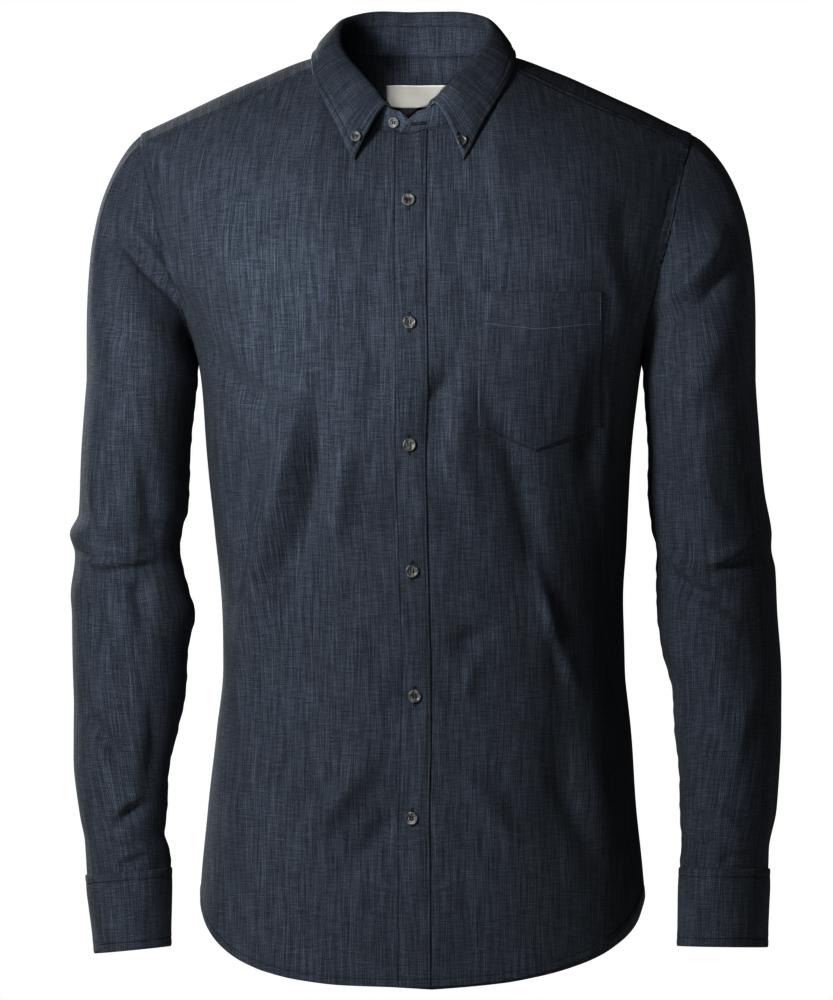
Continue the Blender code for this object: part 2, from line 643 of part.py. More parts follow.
def column_at(x, z, side):
    """Column of a front that stands at a given x in the front view, found by halving."""
    low, high = np.zeros(np.shape(x)), np.full(np.shape(x), 0.95)
    for _ in range(30):
        middle = (low + high) / 2
        beyond = side * front_point(middle, z, side)[..., 0] > side * x
        low, high = np.where(beyond, low, middle), np.where(beyond, middle, high)
    return (low + high) / 2


def on_front(x, z, side, lift):
    """Points over a front at given front-view places, lifted off its folded surface."""
    column = column_at(x, z, side)
    step = 0.004
    across = front_point(column + step, z, side) - front_point(column - step, z, side)
    up = front_point(column, z + 1.0, side) - front_point(column, z - 1.0, side)
    normals = side * unit(np.cross(across, up))
    return front_point(column, z, side) + normals * (fold_height(x, z, FRONT_FOLDS) + lift)[..., None]


def pocket_grid():
    """Outer points of the chest pocket, five-sided with a blunt point at its foot."""
    across = np.linspace(0, 1, 9)
    down = np.linspace(0, 1, 9)[:, None]
    x = POCKET["left"] + across * (POCKET["right"] - POCKET["left"]) + 0 * down
    point = 1 - np.abs(across - 0.46) / np.where(across < 0.46, 0.46, 0.54)
    foot = POCKET["side_bottom"] + (POCKET["point"] - POCKET["side_bottom"]) * point
    z = POCKET["top"] + down * (foot - POCKET["top"])
    mouth = 1.6 * np.sin(np.pi * across) * (1 - down) ** 3
    return on_front(x, z, 1, WALL + POCKET_LAY_GAP + mouth)


def spots(points, x, z, facing):
    """Points of a grid's facets at front-view places, and the normals there.

    The facets are sampled ten to a cell; facing is -1 to take the layer nearest the front, 1 the back.
    """
    shares = np.linspace(0, 1, 11)
    down, across = shares[:, None, None, None, None], shares[None, :, None, None, None]
    corner = points[:-1, :-1], points[:-1, 1:], points[1:, :-1], points[1:, 1:]
    cloud = (corner[0] * (1 - down) * (1 - across) + corner[1] * (1 - down) * across
             + corner[2] * down * (1 - across) + corner[3] * down * across)
    along = (corner[1] - corner[0]) * (1 - down) + (corner[3] - corner[2]) * down + 0 * cloud
    upward = (corner[2] - corner[0]) * (1 - across) + (corner[3] - corner[1]) * across + 0 * cloud
    cloud, facets = cloud.reshape(-1, 3), unit(np.cross(along, upward)).reshape(-1, 3)
    facets = facets * np.where(facets[:, 1:2] * facing < 0, -1, 1)
    x, z = np.asarray(x, dtype=float), np.asarray(z, dtype=float)
    away = (cloud[:, 0] - x[..., None]) ** 2 + (cloud[:, 2] - z[..., None]) ** 2
    nearest = np.argmin(away, axis=-1)
    shift = np.stack([x - cloud[nearest, 0], 0 * x, z - cloud[nearest, 2]], axis=-1)
    slope = -(facets[nearest] * shift).sum(-1) / facets[nearest, 1]
    return cloud[nearest] + shift + slope[..., None] * np.array([0, 1.0, 0]), facets[nearest]


def inside_yoke_grid(yoke, patch):
    """Outer points of a small piece on the inside of the back yoke, facing forward."""
    x = np.linspace(patch["left"], patch["right"], 5) + np.zeros((3, 1))
    z = np.linspace(patch["top"], patch["bottom"], 3)[:, None] + 0 * x
    points, normals = spots(yoke, x, z, 1)
    return points - normals * (WALL + POCKET_LAY_GAP + LABEL_WALL)


def grid_object(name, points, material, wall, closed=False, flip=False):
    """A cloth piece: the grid as an open surface facing out, with its wall laid on the inner side."""
    rows, columns = points.shape[:2]
    index = np.arange(rows * columns).reshape(rows, columns)
    if closed:
        index = np.concatenate([index, index[:, :1]], axis=1)
    quads = np.stack([index[:-1, :-1], index[:-1, 1:], index[1:, 1:], index[1:, :-1]], axis=-1)
    quads = quads.reshape(-1, 4)
    if flip:
        quads = quads[:, ::-1]
    mesh = bpy.data.meshes.new(name)
    mesh.from_pydata((points.reshape(-1, 3) * MM).tolist(), [], quads.tolist())
    mesh.shade_smooth()
    piece = bpy.data.objects.new(name, mesh)
    shirt.objects.link(piece)
    mesh.materials.append(material)
    solidify = piece.modifiers.new("wall", "SOLIDIFY")
    solidify.thickness = wall * MM
    solidify.offset = -1.0
    return piece


def button(name, centre, normal, diameter, material):
    """A turned button: a rounded rim round a shallow dish, its back just over a point of the cloth."""
    radius = diameter / 2 * MM
    thick = BUTTON_THICKNESS * MM
    profile = ((0.0, thick * 0.62), (radius * 0.55, thick * 0.62), (radius * 0.72, thick),
               (radius, thick * 0.72), (radius * 0.8, 0.0), (0.0, 0.0))
    mesh = bpy.data.meshes.new(name)
    mesh.from_pydata([(r, 0.0, z) for r, z in profile], [(i, i + 1) for i in range(len(profile) - 1)], [])
    piece = bpy.data.objects.new(name, mesh)
    shirt.objects.link(piece)
    mesh.materials.append(material)
    screw = piece.modifiers.new("turn", "SCREW")
    screw.steps = 12
    screw.render_steps = 12
    screw.use_merge_vertices = True
    screw.merge_threshold = 0.00001
    toward = Vector(normal).normalized()
    turn = toward.to_track_quat("Z", "Y").to_matrix().to_4x4()
    seat = Vector(centre) + toward * BUTTON_LAY_GAP
    piece.matrix_world = Matrix.Translation(seat * MM) @ turn
    return piece


def material(name, red, green, blue, roughness):
    """A Principled material of one colour."""
    made = bpy.data.materials.new(name)
    made.use_nodes = True
    shader = made.node_tree.nodes["Principled BSDF"]
    shader.inputs["Base Color"].default_value = (red, green, blue, 1.0)
    shader.inputs["Roughness"].default_value = roughness
    shader.inputs["Metallic"].default_value = 0.0
    return made


def clear_scene():
    """Remove the objects that the scene starts with."""
    for item in list(bpy.data.objects):
        bpy.data.objects.remove(item, do_unlink=True)


def build_trunk(cloth):
    """Fronts, front placket, back and yoke; returns the grids that other pieces start from."""
    lap = WALL + LAY_GAP
    left, left_normals = front_grid(1, lap)
    right, _ = front_grid(-1, 0.0)
    back, yoke = back_grid(), yoke_grid()
    placket = left[:, :3] + left_normals[:, :3] * lap
    grid_object("front_left", left, cloth, WALL)
    grid_object("front_right", right, cloth, WALL, flip=True)
    grid_object("front_placket", placket, cloth, WALL)
    grid_object("back_panel", back, cloth, WALL)
    grid_object("back_yoke", yoke, cloth, WALL)
    return left, right, back, yoke, placket


def build_sleeves(cloth, horn, left, right, back, yoke):
    """Sleeves with their plackets, cuffs and cuff buttons."""
    sleeves = (("right", SLEEVE_RIGHT, CUFF_RIGHT, -1, CUFF_TILT_RIGHT, right),
               ("left", SLEEVE_LEFT, CUFF_LEFT, 1, CUFF_TILT_LEFT, left))
    for name, rows, cuff_rows, side, tilt, front in sleeves:
        hole = armhole(front, yoke, back, side)
        points = sleeve_grid(rows, side, tilt, hole)
        grid_object(f"sleeve_{name}", points, cloth, WALL, closed=True, flip=side > 0)
        first = int(np.argmin(np.abs(shares_along(hole) - SLEEVE_PLACKET_TURN)))
        strip = points + wrapped_normals(points, side) * (WALL + LAY_GAP)
        strip = strip[-SLEEVE_PLACKET_ROWS:, first:first + 3]
        grid_object(f"sleeve_placket_{name}", strip, cloth, WALL, flip=side > 0)
        cuff = cuff_grid(cuff_rows, side, tilt)
        grid_object(f"cuff_{name}", cuff, cloth, TWO_PLY_WALL, flip=side > 0)
        middle = (cuff[1, -2] + cuff[2, -2]) / 2
        out = np.cross(cuff[2, -2] - cuff[1, -2], cuff[1, -1] - cuff[1, -3]) * side
        button(f"cuff_button_{name}", middle, out, BUTTON_DIAMETER, horn)


def build_collar(cloth, horn, edge):
    """Collar stand and leaf, the neck button and the two buttons that hold the leaf's points."""
    stand, leaf = stand_grid(edge), leaf_grid()
    grid_object("collar_stand", stand, cloth, TWO_PLY_WALL, flip=True)
    grid_object("collar_leaf", leaf, cloth, TWO_PLY_WALL)
    right_end = stand[:, :FRONT_NECK_COLUMNS]
    point, normal = spots(right_end, *NECK_BUTTON_AT, -1)
    button("neck_button", point, normal, COLLAR_BUTTON_DIAMETER, horn)
    for name, place in TIP_BUTTONS_AT.items():
        point, normal = spots(leaf, *place, -1)
        button(f"collar_button_{name}", point, normal, COLLAR_BUTTON_DIAMETER, horn)


def main():
    """Build the shirt."""
    cloth = material("chambray_indigo", 0.052, 0.070, 0.110, 0.9)
    horn = material("grey_horn", 0.20, 0.20, 0.21, 0.35)
    satin = material("white_satin", 0.62, 0.62, 0.61, 0.4)
    maroon = material("maroon_ribbon", 0.14, 0.03, 0.03, 0.7)
    left, right, back, yoke, placket = build_trunk(cloth)
    build_sleeves(cloth, horn, left, right, back, yoke)
    build_collar(cloth, horn, neck_edge(left, right, yoke))
    grid_object("chest_pocket", pocket_grid(), cloth, WALL, flip=True)
    grid_object("neck_label", inside_yoke_grid(yoke, LABEL), satin, LABEL_WALL, flip=True)
    grid_object("label_tab", inside_yoke_grid(yoke, TAB), maroon, LABEL_WALL, flip=True)
    for number, height in enumerate(FRONT_BUTTON_HEIGHTS, start=1):
        middle = [np.interp(height, placket[:, 1, 2], placket[:, 1, axis]) for axis in range(3)]
        point, normal = spots(placket, middle[0], height, -1)
        button(f"front_button_{number}", point, normal, BUTTON_DIAMETER, horn)


clear_scene()
shirt = bpy.data.collections.new("chambray_shirt")
bpy.context.scene.collection.children.link(shirt)
main()
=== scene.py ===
"""A chambray button-down shirt, filled out as if worn with nobody in it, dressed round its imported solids.

Sizes in the tables are millimetres in the solids' frame: +X is the wearer's left, -Y the front, +Z up,
and the origin the middle of the neck opening. Each cloth piece is an open surface on a grid of points
(rows, columns, xyz), worked out as whole arrays, which a Solidify modifier gives its wall.
"""

import logging
import math
from dataclasses import dataclass, field
from enum import Enum

import bpy
import numpy as np
from bpy.types import ID, Light, Material, Node, NodeSocket, NodeTree, Object
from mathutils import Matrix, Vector
from mathutils.bvhtree import BVHTree


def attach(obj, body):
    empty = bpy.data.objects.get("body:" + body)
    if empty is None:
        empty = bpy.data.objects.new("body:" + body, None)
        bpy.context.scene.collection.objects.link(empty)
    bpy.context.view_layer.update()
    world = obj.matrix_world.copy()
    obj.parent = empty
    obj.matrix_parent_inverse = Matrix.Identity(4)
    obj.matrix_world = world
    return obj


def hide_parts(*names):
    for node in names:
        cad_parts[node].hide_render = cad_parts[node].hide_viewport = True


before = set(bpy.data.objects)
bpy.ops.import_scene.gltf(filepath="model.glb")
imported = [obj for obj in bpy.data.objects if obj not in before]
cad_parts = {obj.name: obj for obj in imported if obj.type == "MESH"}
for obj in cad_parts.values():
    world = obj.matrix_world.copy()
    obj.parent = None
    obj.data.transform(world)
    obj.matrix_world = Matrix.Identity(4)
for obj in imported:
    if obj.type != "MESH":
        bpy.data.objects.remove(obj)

Array = np.ndarray
Grid = np.ndarray
Table = dict[str, Array]
Place = tuple[float, float, float]

MM = 0.001
UP = np.array([0, 0, 1.0])
log = logging.getLogger("shirt")

# Cloth: the solids' walls set where layers lie, the shown cloth is thinner
WALL, TWO_PLY_WALL = 1.4, 1.9
SEAM_GAP, LAY_GAP, POCKET_LAY_GAP, LABEL_LAY_GAP = 0.5, 0.3, 0.7, 0.9
CLOTH, TWO_PLY_CLOTH, SATIN_CLOTH = 0.9, 1.7, 0.5

# Trunk: columns are shares from the centre line to the side seam, a front or half a back this wide
CHEST_LINE, SQUARENESS, TURN = -262.0, 2.4, 0.06
PLACKET_REACH, HEM_DROP_BACK, HEM_LIFT_LEFT = 0.0495, 5.0, 4.5
FRONT_WIDTH, BACK_WIDTH, YOKE_LENGTH, YOKE_WIDTH = 255, 250, 150, 560
SIDE_SEAM = 1 - SEAM_GAP / 2 / 190
LAP_ENDS_AT, LAP_FADE = 0.16, 0.09

# Buttons
FRONT_BUTTON_HEIGHTS = (-115.6, -215.7, -315.7, -419.0, -521.5, -621.6)
NECK_BUTTON_AT = (-22.0, -51.5)
TIP_BUTTONS_AT = {"right": (-53.0, -63.5), "left": (33.0, -66.5)}

# Collar: its length and the heights of its stand and its leaf, then how both are shaped
COLLAR_LENGTH, STAND_HEIGHT, LEAF_HEIGHT = 430, 38, 70
LEAF_ENDS_AT, STAND_SHARE, STAND_BOW, STAND_END_SHARE = 0.955, 0.96, 1.5, 0.62
STAND_ROWS = np.array([0.0, 0.35, 0.7, 1.0])
STAND_END_ROUNDING = np.array([0.0, 0.08, 0.32, 0.8])
LEAF_CLEARANCE, LEAF_RISE = 0.7, 1.6
LEFT_END_HOLE_AT = (-2.5, -52.5)

# Cuffs and the plackets above their laps, by turns round the sleeve from the body side
CUFF_STEP, CUFF_START_TURN, CUFF_OVERLAP_TURNS = 0.6, 0.62, 0.09
CUFF_BUTTON_SHARE, CUFF_STITCH = 23 / 24, 7.0
SLEEVE_PLACKET_TURN, SLEEVE_PLACKET_TURNS, SLEEVE_PLACKET_TOP = 0.64, 0.1, -529
SLEEVE_CAP_LENGTH, SLEEVE_GIRTH = 120, 2 * math.pi * 55

# Reach of a fold in half widths, and the share of its height that is left at its ends
FOLD_REACH, FOLD_END_SHARE = 3.2, 0.25


def table(columns: str, rows: list[tuple[float, ...]]) -> Table:
    """A table as a dictionary of arrays, one for each named column."""
    values = np.array(rows, dtype=float)
    return {name: values[:, place] for place, name in enumerate(columns.split())}


# Level sections of the trunk, from the hem up
BODY = table("z centre half_width front back", [
    (-770, 1.2, 185.0, 131, 130), (-680, 1.2, 181.6, 130, 127), (-615, 1.0, 175.5, 128, 122),
    (-550, 2.5, 169.7, 126, 118), (-500, 2.6, 164.5, 126, 116), (-450, 1.5, 164.2, 129, 117),
    (-385, 0.0, 169.0, 134, 120), (-320, -1.5, 174.0, 138, 124), (-262, -0.5, 179.5, 140, 126),
    (-150, -3.0, 200.0, 137, 124), (-60, -4.5, 220.0, 110, 110), (40, -5.0, 220.0, 110, 110),
])

# Height of the curved hem from the centre line to the side seam
HEM = table("column z", [
    (0.00, -760), (0.20, -758), (0.32, -754), (0.42, -748), (0.52, -739),
    (0.62, -727), (0.72, -713), (0.82, -698), (0.91, -687), (1.00, -682),
])

# Upper edge of a front: neck curve, shoulder seam, then front armhole (lean is dy/dz on arrival)
FRONT_EDGE = table("column x y z lean", [
    (0.00, 0.0, -79, -62, 0.62), (0.10, 29.0, -77, -55, 0.66), (0.18, 52.0, -69, -39, 0.75),
    (0.235, 65.0, -55, -20, 0.90), (0.27, 71.0, -36, -1, 1.10), (0.43, 143.0, -36, -35, 1.30),
    (0.53, 189.0, -29, -54, 1.15), (0.60, 226.0, -14, -69, 0.80), (0.66, 220.5, -29, -92, 0.55),
    (0.72, 216.0, -40, -113, 0.35), (0.78, 211.0, -47, -138, 0.10), (0.84, 204.0, -49, -162, -0.05),
    (0.90, 194.5, -43, -190, -0.20), (0.95, 187.0, -27, -217, -0.30), (1.00, 180.5, 0, -243, 0.00),
])
FRONT_CORNERS = (0.27, 0.60)

# Upper edge of the back: yoke seam, then back armhole
BACK_EDGE = table("column x y z lean", [
    (0.00, 0.0, 111, -112, -0.22), (0.20, 71.0, 110, -112, -0.23), (0.40, 146.0, 99, -112, -0.26),
    (0.56, 207.0, 60, -112, -0.30), (0.66, 209.0, 62, -135, -0.10), (0.76, 204.5, 59, -160, 0.05),
    (0.86, 195.5, 48, -190, 0.20), (0.94, 187.0, 29, -217, 0.30), (1.00, 180.5, 0, -243, 0.00),
])
BACK_CORNERS = (0.56,)

# Yoke columns from the back centre outwards: the neck edge, and how each column arrives there
YOKE_NECK = table("column x y z", [
    (0.00, 0, 47, 4), (0.16, 33, 41, 4.5), (0.26, 56, 24, 6.5), (0.31, 65, 5, 8), (0.36, 71, -36, -1),
])
YOKE_ARRIVAL = table("column x y z", [
    (0.00, 0, 24, -38), (0.16, 4, 28, -34), (0.26, 7, 38, -21), (0.31, 6, 50, -8),
    (0.36, 3, 70, 41), (0.60, 1, 70, 50), (1.00, 2, 45, 26),
])
YOKE_NECK_CORNER = 0.36
YOKE_NECK_COLUMNS = (0.0, 0.086, 0.173, 0.236, 0.284, 0.318, 0.340, YOKE_NECK_CORNER)

# Collar, by share of the neck seam from the back centre to the centre front: roll line and leaf edge
COLLAR = table("share roll_x roll_y roll_z edge_x edge_y edge_z", [
    (0.00, 0.0, 47, 39, 0, 60, -6), (0.15, 34.0, 41, 39, 42, 55, -6), (0.27, 53.0, 24, 35, 68, 36, 0),
    (0.38, 60.5, 4, 29, 80, 10, 5), (0.50, 61.0, -18, 18, 84, -24, 1), (0.62, 55.0, -38, 5, 82, -46, -11),
    (0.74, 43.0, -54, -9, 73, -68, -30), (0.86, 29.0, -68, -24, 60, -86, -53),
    (0.955, 16.0, -80, -39, 45, -97, -83), (1.06, -2.0, -84, -44, 40, -97, -83),
])

# Level sections of each sleeve below the armhole, and of its cuff at the seam and the opening
SECTION = "z centre half_width middle half_depth"
SLEEVE_RIGHT = table(SECTION, [
    (-262, -228.8, 45.9, -4, 73), (-320, -234.0, 45.1, -1, 69), (-370, -236.2, 45.1, 3, 65),
    (-387, -242.5, 46.2, 4, 63), (-402, -241.2, 43.4, 4, 61), (-435, -239.0, 48.8, 1, 59),
    (-453, -236.0, 50.8, -1, 58), (-484, -238.6, 47.6, -3, 57), (-517, -239.0, 46.3, -6, 55),
    (-550, -242.3, 43.0, -10, 53), (-582, -245.6, 39.0, -14, 51), (-615, -244.0, 35.9, -18, 49),
    (-636, -243.0, 33.0, -20, 47), (-648, -240.5, 34.4, -22, 45), (-662, -239.4, 34.4, -23, 44),
])
SLEEVE_LEFT = table(SECTION, [
    (-262, 228.4, 46.3, -4, 73), (-320, 232.5, 46.3, -1, 69), (-352, 234.0, 48.0, 2, 66),
    (-385, 238.6, 49.2, 4, 63), (-402, 240.7, 47.2, 4, 61), (-418, 242.0, 49.2, 3, 60),
    (-451, 243.0, 49.6, 0, 58), (-484, 246.4, 48.8, -3, 57), (-517, 251.0, 45.1, -6, 55),
    (-550, 252.0, 43.9, -10, 53), (-582, 253.0, 41.4, -14, 51), (-615, 252.0, 39.8, -18, 49),
    (-648, 249.3, 36.0, -22, 45), (-662, 248.5, 36.0, -23, 44),
])
CUFF_RIGHT = table(SECTION, [(-662, -239.4, 34.6, -23, 44.5), (-727, -236.0, 30.6, -28, 41.0)])
CUFF_LEFT = table(SECTION, [(-662, 248.5, 36.4, -23, 44.5), (-727, 246.8, 36.4, -28, 41.0)])
# How much more steeply each sleeve leaves the top of its armhole, in degrees
SLEEVE_TOP_DROP = {1: 0.0, -1: 13.0}
CUFF_TILT = {"right": 6.0, "left": 1.0}

# Chest pocket, blank label and the small loop tab under it, in the front view
POCKET = {"left": 47.0, "right": 148.5, "top": -190.5, "side_bottom": -301.0, "point": -322.0}
POCKET_WIDTH, POCKET_HEIGHT, POCKET_POINT_AT, POCKET_HEM = 104, 125, 0.46, 27.0
LABEL = {"left": -28.5, "right": 31.0, "top": -18.5, "bottom": -37.0}
TAB = {"left": -10.5, "right": 2.5, "top": -40.5, "bottom": -46.0}


def fold_table(rows: list[tuple[float, ...]]) -> Table:
    """A table of folds: three points along each, its half width, its height and how steep it is.

    A height below 0 is a trough. The steepness, 1 where a row gives none, is how much steeper the
    fold's right side is than its left, looking along it.
    """
    return table("x0 z0 x1 z1 x2 z2 half_width height steep", [(*row, 1.0)[:9] for row in rows])


# Folds as seen from the front, then those of the back, by the front view's x
FRONT_FOLDS = fold_table([
    (-103, -275, -121, -390, -150, -525, 17, 10.1), (-82, -270, -88, -350, -112, -420, 13, -6.8),
    (-135, -345, -131, -400, -126, -425, 11, 4.7), (-62, -325, -68, -370, -76, -400, 13, 4.1),
    (20, -245, 16, -290, 8, -325, 14, -4.7), (60, -465, 38, -480, 20, -492, 13, -2.6),
    (92, -415, 104, -455, 116, -500, 12, 5.4), (-50, -580, -70, -612, -92, -640, 12, 5.4),
    (-10, -610, -36, -640, -58, -665, 14, -2.8), (130, -560, 146, -600, 152, -640, 14, 4.7),
    (-278, -400, -258, -411, -232, -405, 8, 6.8), (-262, -418, -238, -436, -220, -420, 10, -8.1),
    (194, -395, 214, -414, 236, -431, 9, 5.4), (205, -402, 222, -425, 234, -440, 9, -6.8),
    (264, -405, 244, -411, 230, -420, 8, 6.8), (-256, -138, -236, -166, -208, -200, 12, -5.4),
    (244, -135, 226, -172, 196, -205, 12, 8.1), (222, -180, 204, -206, 198, -235, 10, -6.8),
    (-274, -534, -256, -560, -242, -582, 9, -4.7), (-250, -628, -238, -618, -226, -612, 7, -4.1),
    (226, -440, 240, -446, 248, -452, 8, -4.1), (-103, -285, -128, -400, -152, -525, 5, 4.5),
    (-140, -320, -145, -385, -152, -460, 9, -9.0, 2.4), (-171, -240, -139, -271, -107, -283, 9, -5.5),
    (48, -262, 80, -345, 98, -450, 11, -6.5), (22, -262, 34, -330, 55, -400, 14, 4.5),
    (93, -415, 107, -467, 130, -520, 6, 3.5, 2.0), (-45, -210, -38, -250, -40, -300, 12, -4.5),
    (-192, -212, -180, -235, -166, -250, 13, -8.0), (-238, -430, -228, -452, -222, -478, 9, -6.0),
    (110, -520, 118, -580, 112, -650, 16, -5.0), (-20, -520, -28, -600, -22, -680, 18, -4.0),
])
BACK_FOLDS = fold_table([
    (96, -270, 112, -380, 140, -500, 17, 8.8), (-88, -280, -98, -370, -128, -470, 16, 8.1),
    (60, -300, 66, -360, 84, -420, 13, -6.1), (-40, -420, -20, -470, 8, -510, 14, -5.4),
    (30, -560, 60, -600, 86, -640, 13, 5.4), (-30, -590, -60, -620, -90, -650, 13, 4.7),
    (150, -150, 130, -200, 118, -250, 13, 5.4), (-150, -150, -132, -200, -120, -250, 13, 5.4),
    (-276, -396, -252, -410, -228, -404, 10, 6.8), (276, -400, 254, -412, 232, -408, 10, 6.8),
    (-250, -150, -228, -180, -200, -214, 12, -5.4), (250, -150, 228, -180, 200, -214, 12, -5.4),
])

# Smaller creases over the folds, the same way
CREASES_FRONT = fold_table([
    (-99, -275, -115, -365, -135, -466, 6, 4.4, 1.6), (-92, -279, -87, -343, -107, -414, 9, -5),
    (-139, -349, -133, -373, -129, -389, 5, 3), (-61, -312, -65, -353, -72, -389, 10, 3.8),
    (-158, -279, -152, -336, -158, -410, 7, -4.2), (-160, -410, -148, -451, -155, -517, 8, 5),
    (21, -256, 16, -269, 7, -280, 7, -5.1), (40, -262, 30, -303, 20, -336, 10, 4),
    (57, -464, 40, -474, 23, -481, 8, -2.2), (47, -488, 39, -508, 34, -525, 7, 3.7),
    (93, -410, 101, -453, 112, -490, 4, 2.4, 1.8), (114, -443, 111, -484, 119, -525, 8, -4.5),
    (145, -246, 139, -295, 134, -344, 9, -5.5), (157, -279, 150, -336, 152, -394, 6, 3.6),
    (-48, -580, -68, -608, -88, -635, 10, 5), (-9, -613, -37, -635, -57, -658, 9, -2.4),
    (-64, -587, -81, -599, -98, -611, 7, -4.2), (25, -582, 53, -607, 75, -641, 10, 4.5),
    (114, -590, 130, -623, 139, -664, 9, -4.5), (-148, -590, -152, -631, -140, -672, 8, 4),
    (-171, -112, -157, -156, -152, -205, 9, 4), (175, -107, 165, -148, 171, -197, 9, -6),
    (155, -156, 162, -197, 152, -238, 7, 4.2), (-257, -138, -230, -166, -189, -207, 6, -6, 1.5),
    (-248, -126, -222, -157, -184, -190, 7, 5.1), (-266, -197, -247, -221, -214, -239, 8, -4),
    (244, -136, 234, -171, 193, -205, 5, 8.3, 0.5), (252, -166, 234, -194, 206, -215, 7, -7),
    (204, -198, 196, -220, 192, -239, 4, 3.5, 0.6), (216, -226, 206, -251, 198, -272, 7, -5.1),
    (244, -221, 234, -256, 221, -280, 9, 4.5), (-285, -399, -260, -409, -222, -404, 3.2, -5.4),
    (-280, -407, -253, -413, -222, -408, 3.4, 4.3), (-263, -420, -239, -415, -209, -415, 5, -8.3, 0.7),
    (-258, -423, -240, -436, -242, -472, 8, 5), (-230, -312, -222, -361, -221, -398, 9, -6),
    (-273, -336, -266, -369, -248, -395, 7, 4.2), (-276, -443, -265, -461, -270, -492, 7, -3.7),
    (-219, -423, -222, -459, -214, -492, 6, 3.6), (193, -387, 216, -415, 239, -435, 4, 6.1, 0.4),
    (199, -407, 216, -430, 229, -440, 5, -7), (266, -400, 247, -410, 234, -418, 4, 4.5, 0.6),
    (263, -415, 242, -417, 232, -421, 4.5, -6.9, 0.8), (225, -438, 239, -438, 250, -448, 4, -3.7),
    (221, -448, 239, -451, 260, -467, 6, 4), (198, -312, 206, -353, 221, -385, 9, -4.5),
    (229, -312, 235, -353, 252, -384, 8, 4.5), (203, -412, 198, -435, 203, -476, 5, -3.3),
    (-274, -534, -258, -559, -240, -581, 5, -4, 1.2), (-281, -538, -266, -566, -253, -590, 6, 3.6),
    (-257, -577, -253, -590, -248, -600, 4, -2.4), (-252, -628, -239, -617, -224, -612, 3.6, -3.4, 0.8),
    (-253, -622, -240, -608, -227, -604, 4, 2.9), (-255, -648, -244, -645, -230, -645, 3, -3.1),
    (-250, -661, -239, -658, -224, -651, 3, -3.1), (-252, -654, -239, -651, -226, -648, 3, 2.4),
    (-222, -525, -217, -558, -224, -599, 7, -4.7), (-263, -484, -253, -508, -260, -535, 8, 4),
    (221, -525, 234, -549, 252, -567, 6, -4.4, 1.2), (271, -517, 263, -549, 258, -582, 7, 4.2),
    (221, -617, 234, -625, 247, -638, 4, -3.5), (229, -610, 244, -617, 260, -631, 4.5, 3),
    (222, -646, 239, -641, 258, -648, 3.4, -2.9), (242, -659, 257, -653, 275, -654, 3.2, -2.9),
    (203, -541, 209, -582, 219, -607, 8, 4.5),
])
CREASES_BACK = fold_table([
    (120, -290, 130, -380, 150, -470, 6, 4.8, 1.6), (84, -300, 92, -390, 118, -480, 10, -5.5),
    (-104, -300, -112, -380, -138, -450, 6, 4.4, 1.6), (-70, -290, -78, -370, -104, -450, 10, -5.5),
    (20, -150, 14, -220, 24, -300, 9, 4), (-24, -160, -30, -230, -18, -320, 8, -4),
    (70, -140, 66, -200, 74, -270, 9, -4), (-74, -140, -66, -210, -78, -280, 9, 4),
    (40, -400, 22, -440, 0, -470, 8, -5), (56, -430, 36, -470, 12, -500, 9, 5),
    (-50, -450, -34, -480, -6, -500, 8, -5), (0, -520, 18, -560, 46, -600, 9, 5),
    (-70, -520, -84, -570, -110, -610, 9, -5), (96, -540, 110, -590, 130, -640, 8, 5),
    (20, -620, 44, -660, 76, -700, 9, -4.5), (-40, -650, -62, -690, -84, -720, 9, 4.5),
    (-130, -620, -140, -660, -136, -700, 8, -4), (266, -136, 244, -172, 204, -214, 5, 7.3, 0.5),
    (270, -170, 248, -200, 214, -236, 7, -6.5), (-266, -140, -244, -176, -204, -220, 5, 6.7, 0.5),
    (-272, -176, -246, -206, -214, -240, 7, -6.5), (250, -250, 240, -290, 222, -330, 9, 4.5),
    (-252, -250, -240, -296, -226, -340, 9, 4.5), (286, -396, 262, -412, 226, -408, 4, 4.8, 0.6),
    (280, -412, 256, -424, 228, -420, 5, -7.7), (278, -430, 252, -438, 230, -430, 5, 4.3),
    (-286, -392, -262, -408, -224, -402, 4, 4.8, 0.6), (-280, -408, -254, -420, -224, -416, 5, -7.7),
    (-276, -426, -250, -436, -226, -430, 5, 4.3), (276, -520, 256, -552, 240, -580, 6, -4.4, 1.2),
    (286, -500, 264, -536, 250, -570, 7, 4.2), (-272, -540, -256, -566, -240, -590, 6, -4.4, 1.2),
    (-282, -520, -262, -550, -248, -580, 7, 4.2), (270, -620, 252, -630, 232, -628, 4, -3.2),
    (264, -644, 246, -648, 228, -642, 3.4, -2.6), (-262, -620, -244, -630, -224, -628, 4, -3.2),
    (-256, -644, -240, -648, -222, -644, 3.4, -2.6),
])


# Curves and grids

def hermite(start: Grid, leaving: Grid, end: Grid, arriving: Grid, share: Array) -> Grid:
    """A cubic from start to end, by its slopes over the whole way where it leaves and where it arrives."""
    return (start * (1 + 2 * share) * (1 - share) ** 2 + leaving * share * (1 - share) ** 2
            + end * share ** 2 * (3 - 2 * share) + arriving * share ** 2 * (share - 1))


def bezier(first: Grid, second: Grid, third: Grid, last: Grid, share: Array) -> Grid:
    """A cubic from the first to the last of four points, pulled toward the two between."""
    return (first * (1 - share) ** 3 + 3 * second * share * (1 - share) ** 2
            + 3 * third * share ** 2 * (1 - share) + last * share ** 3)


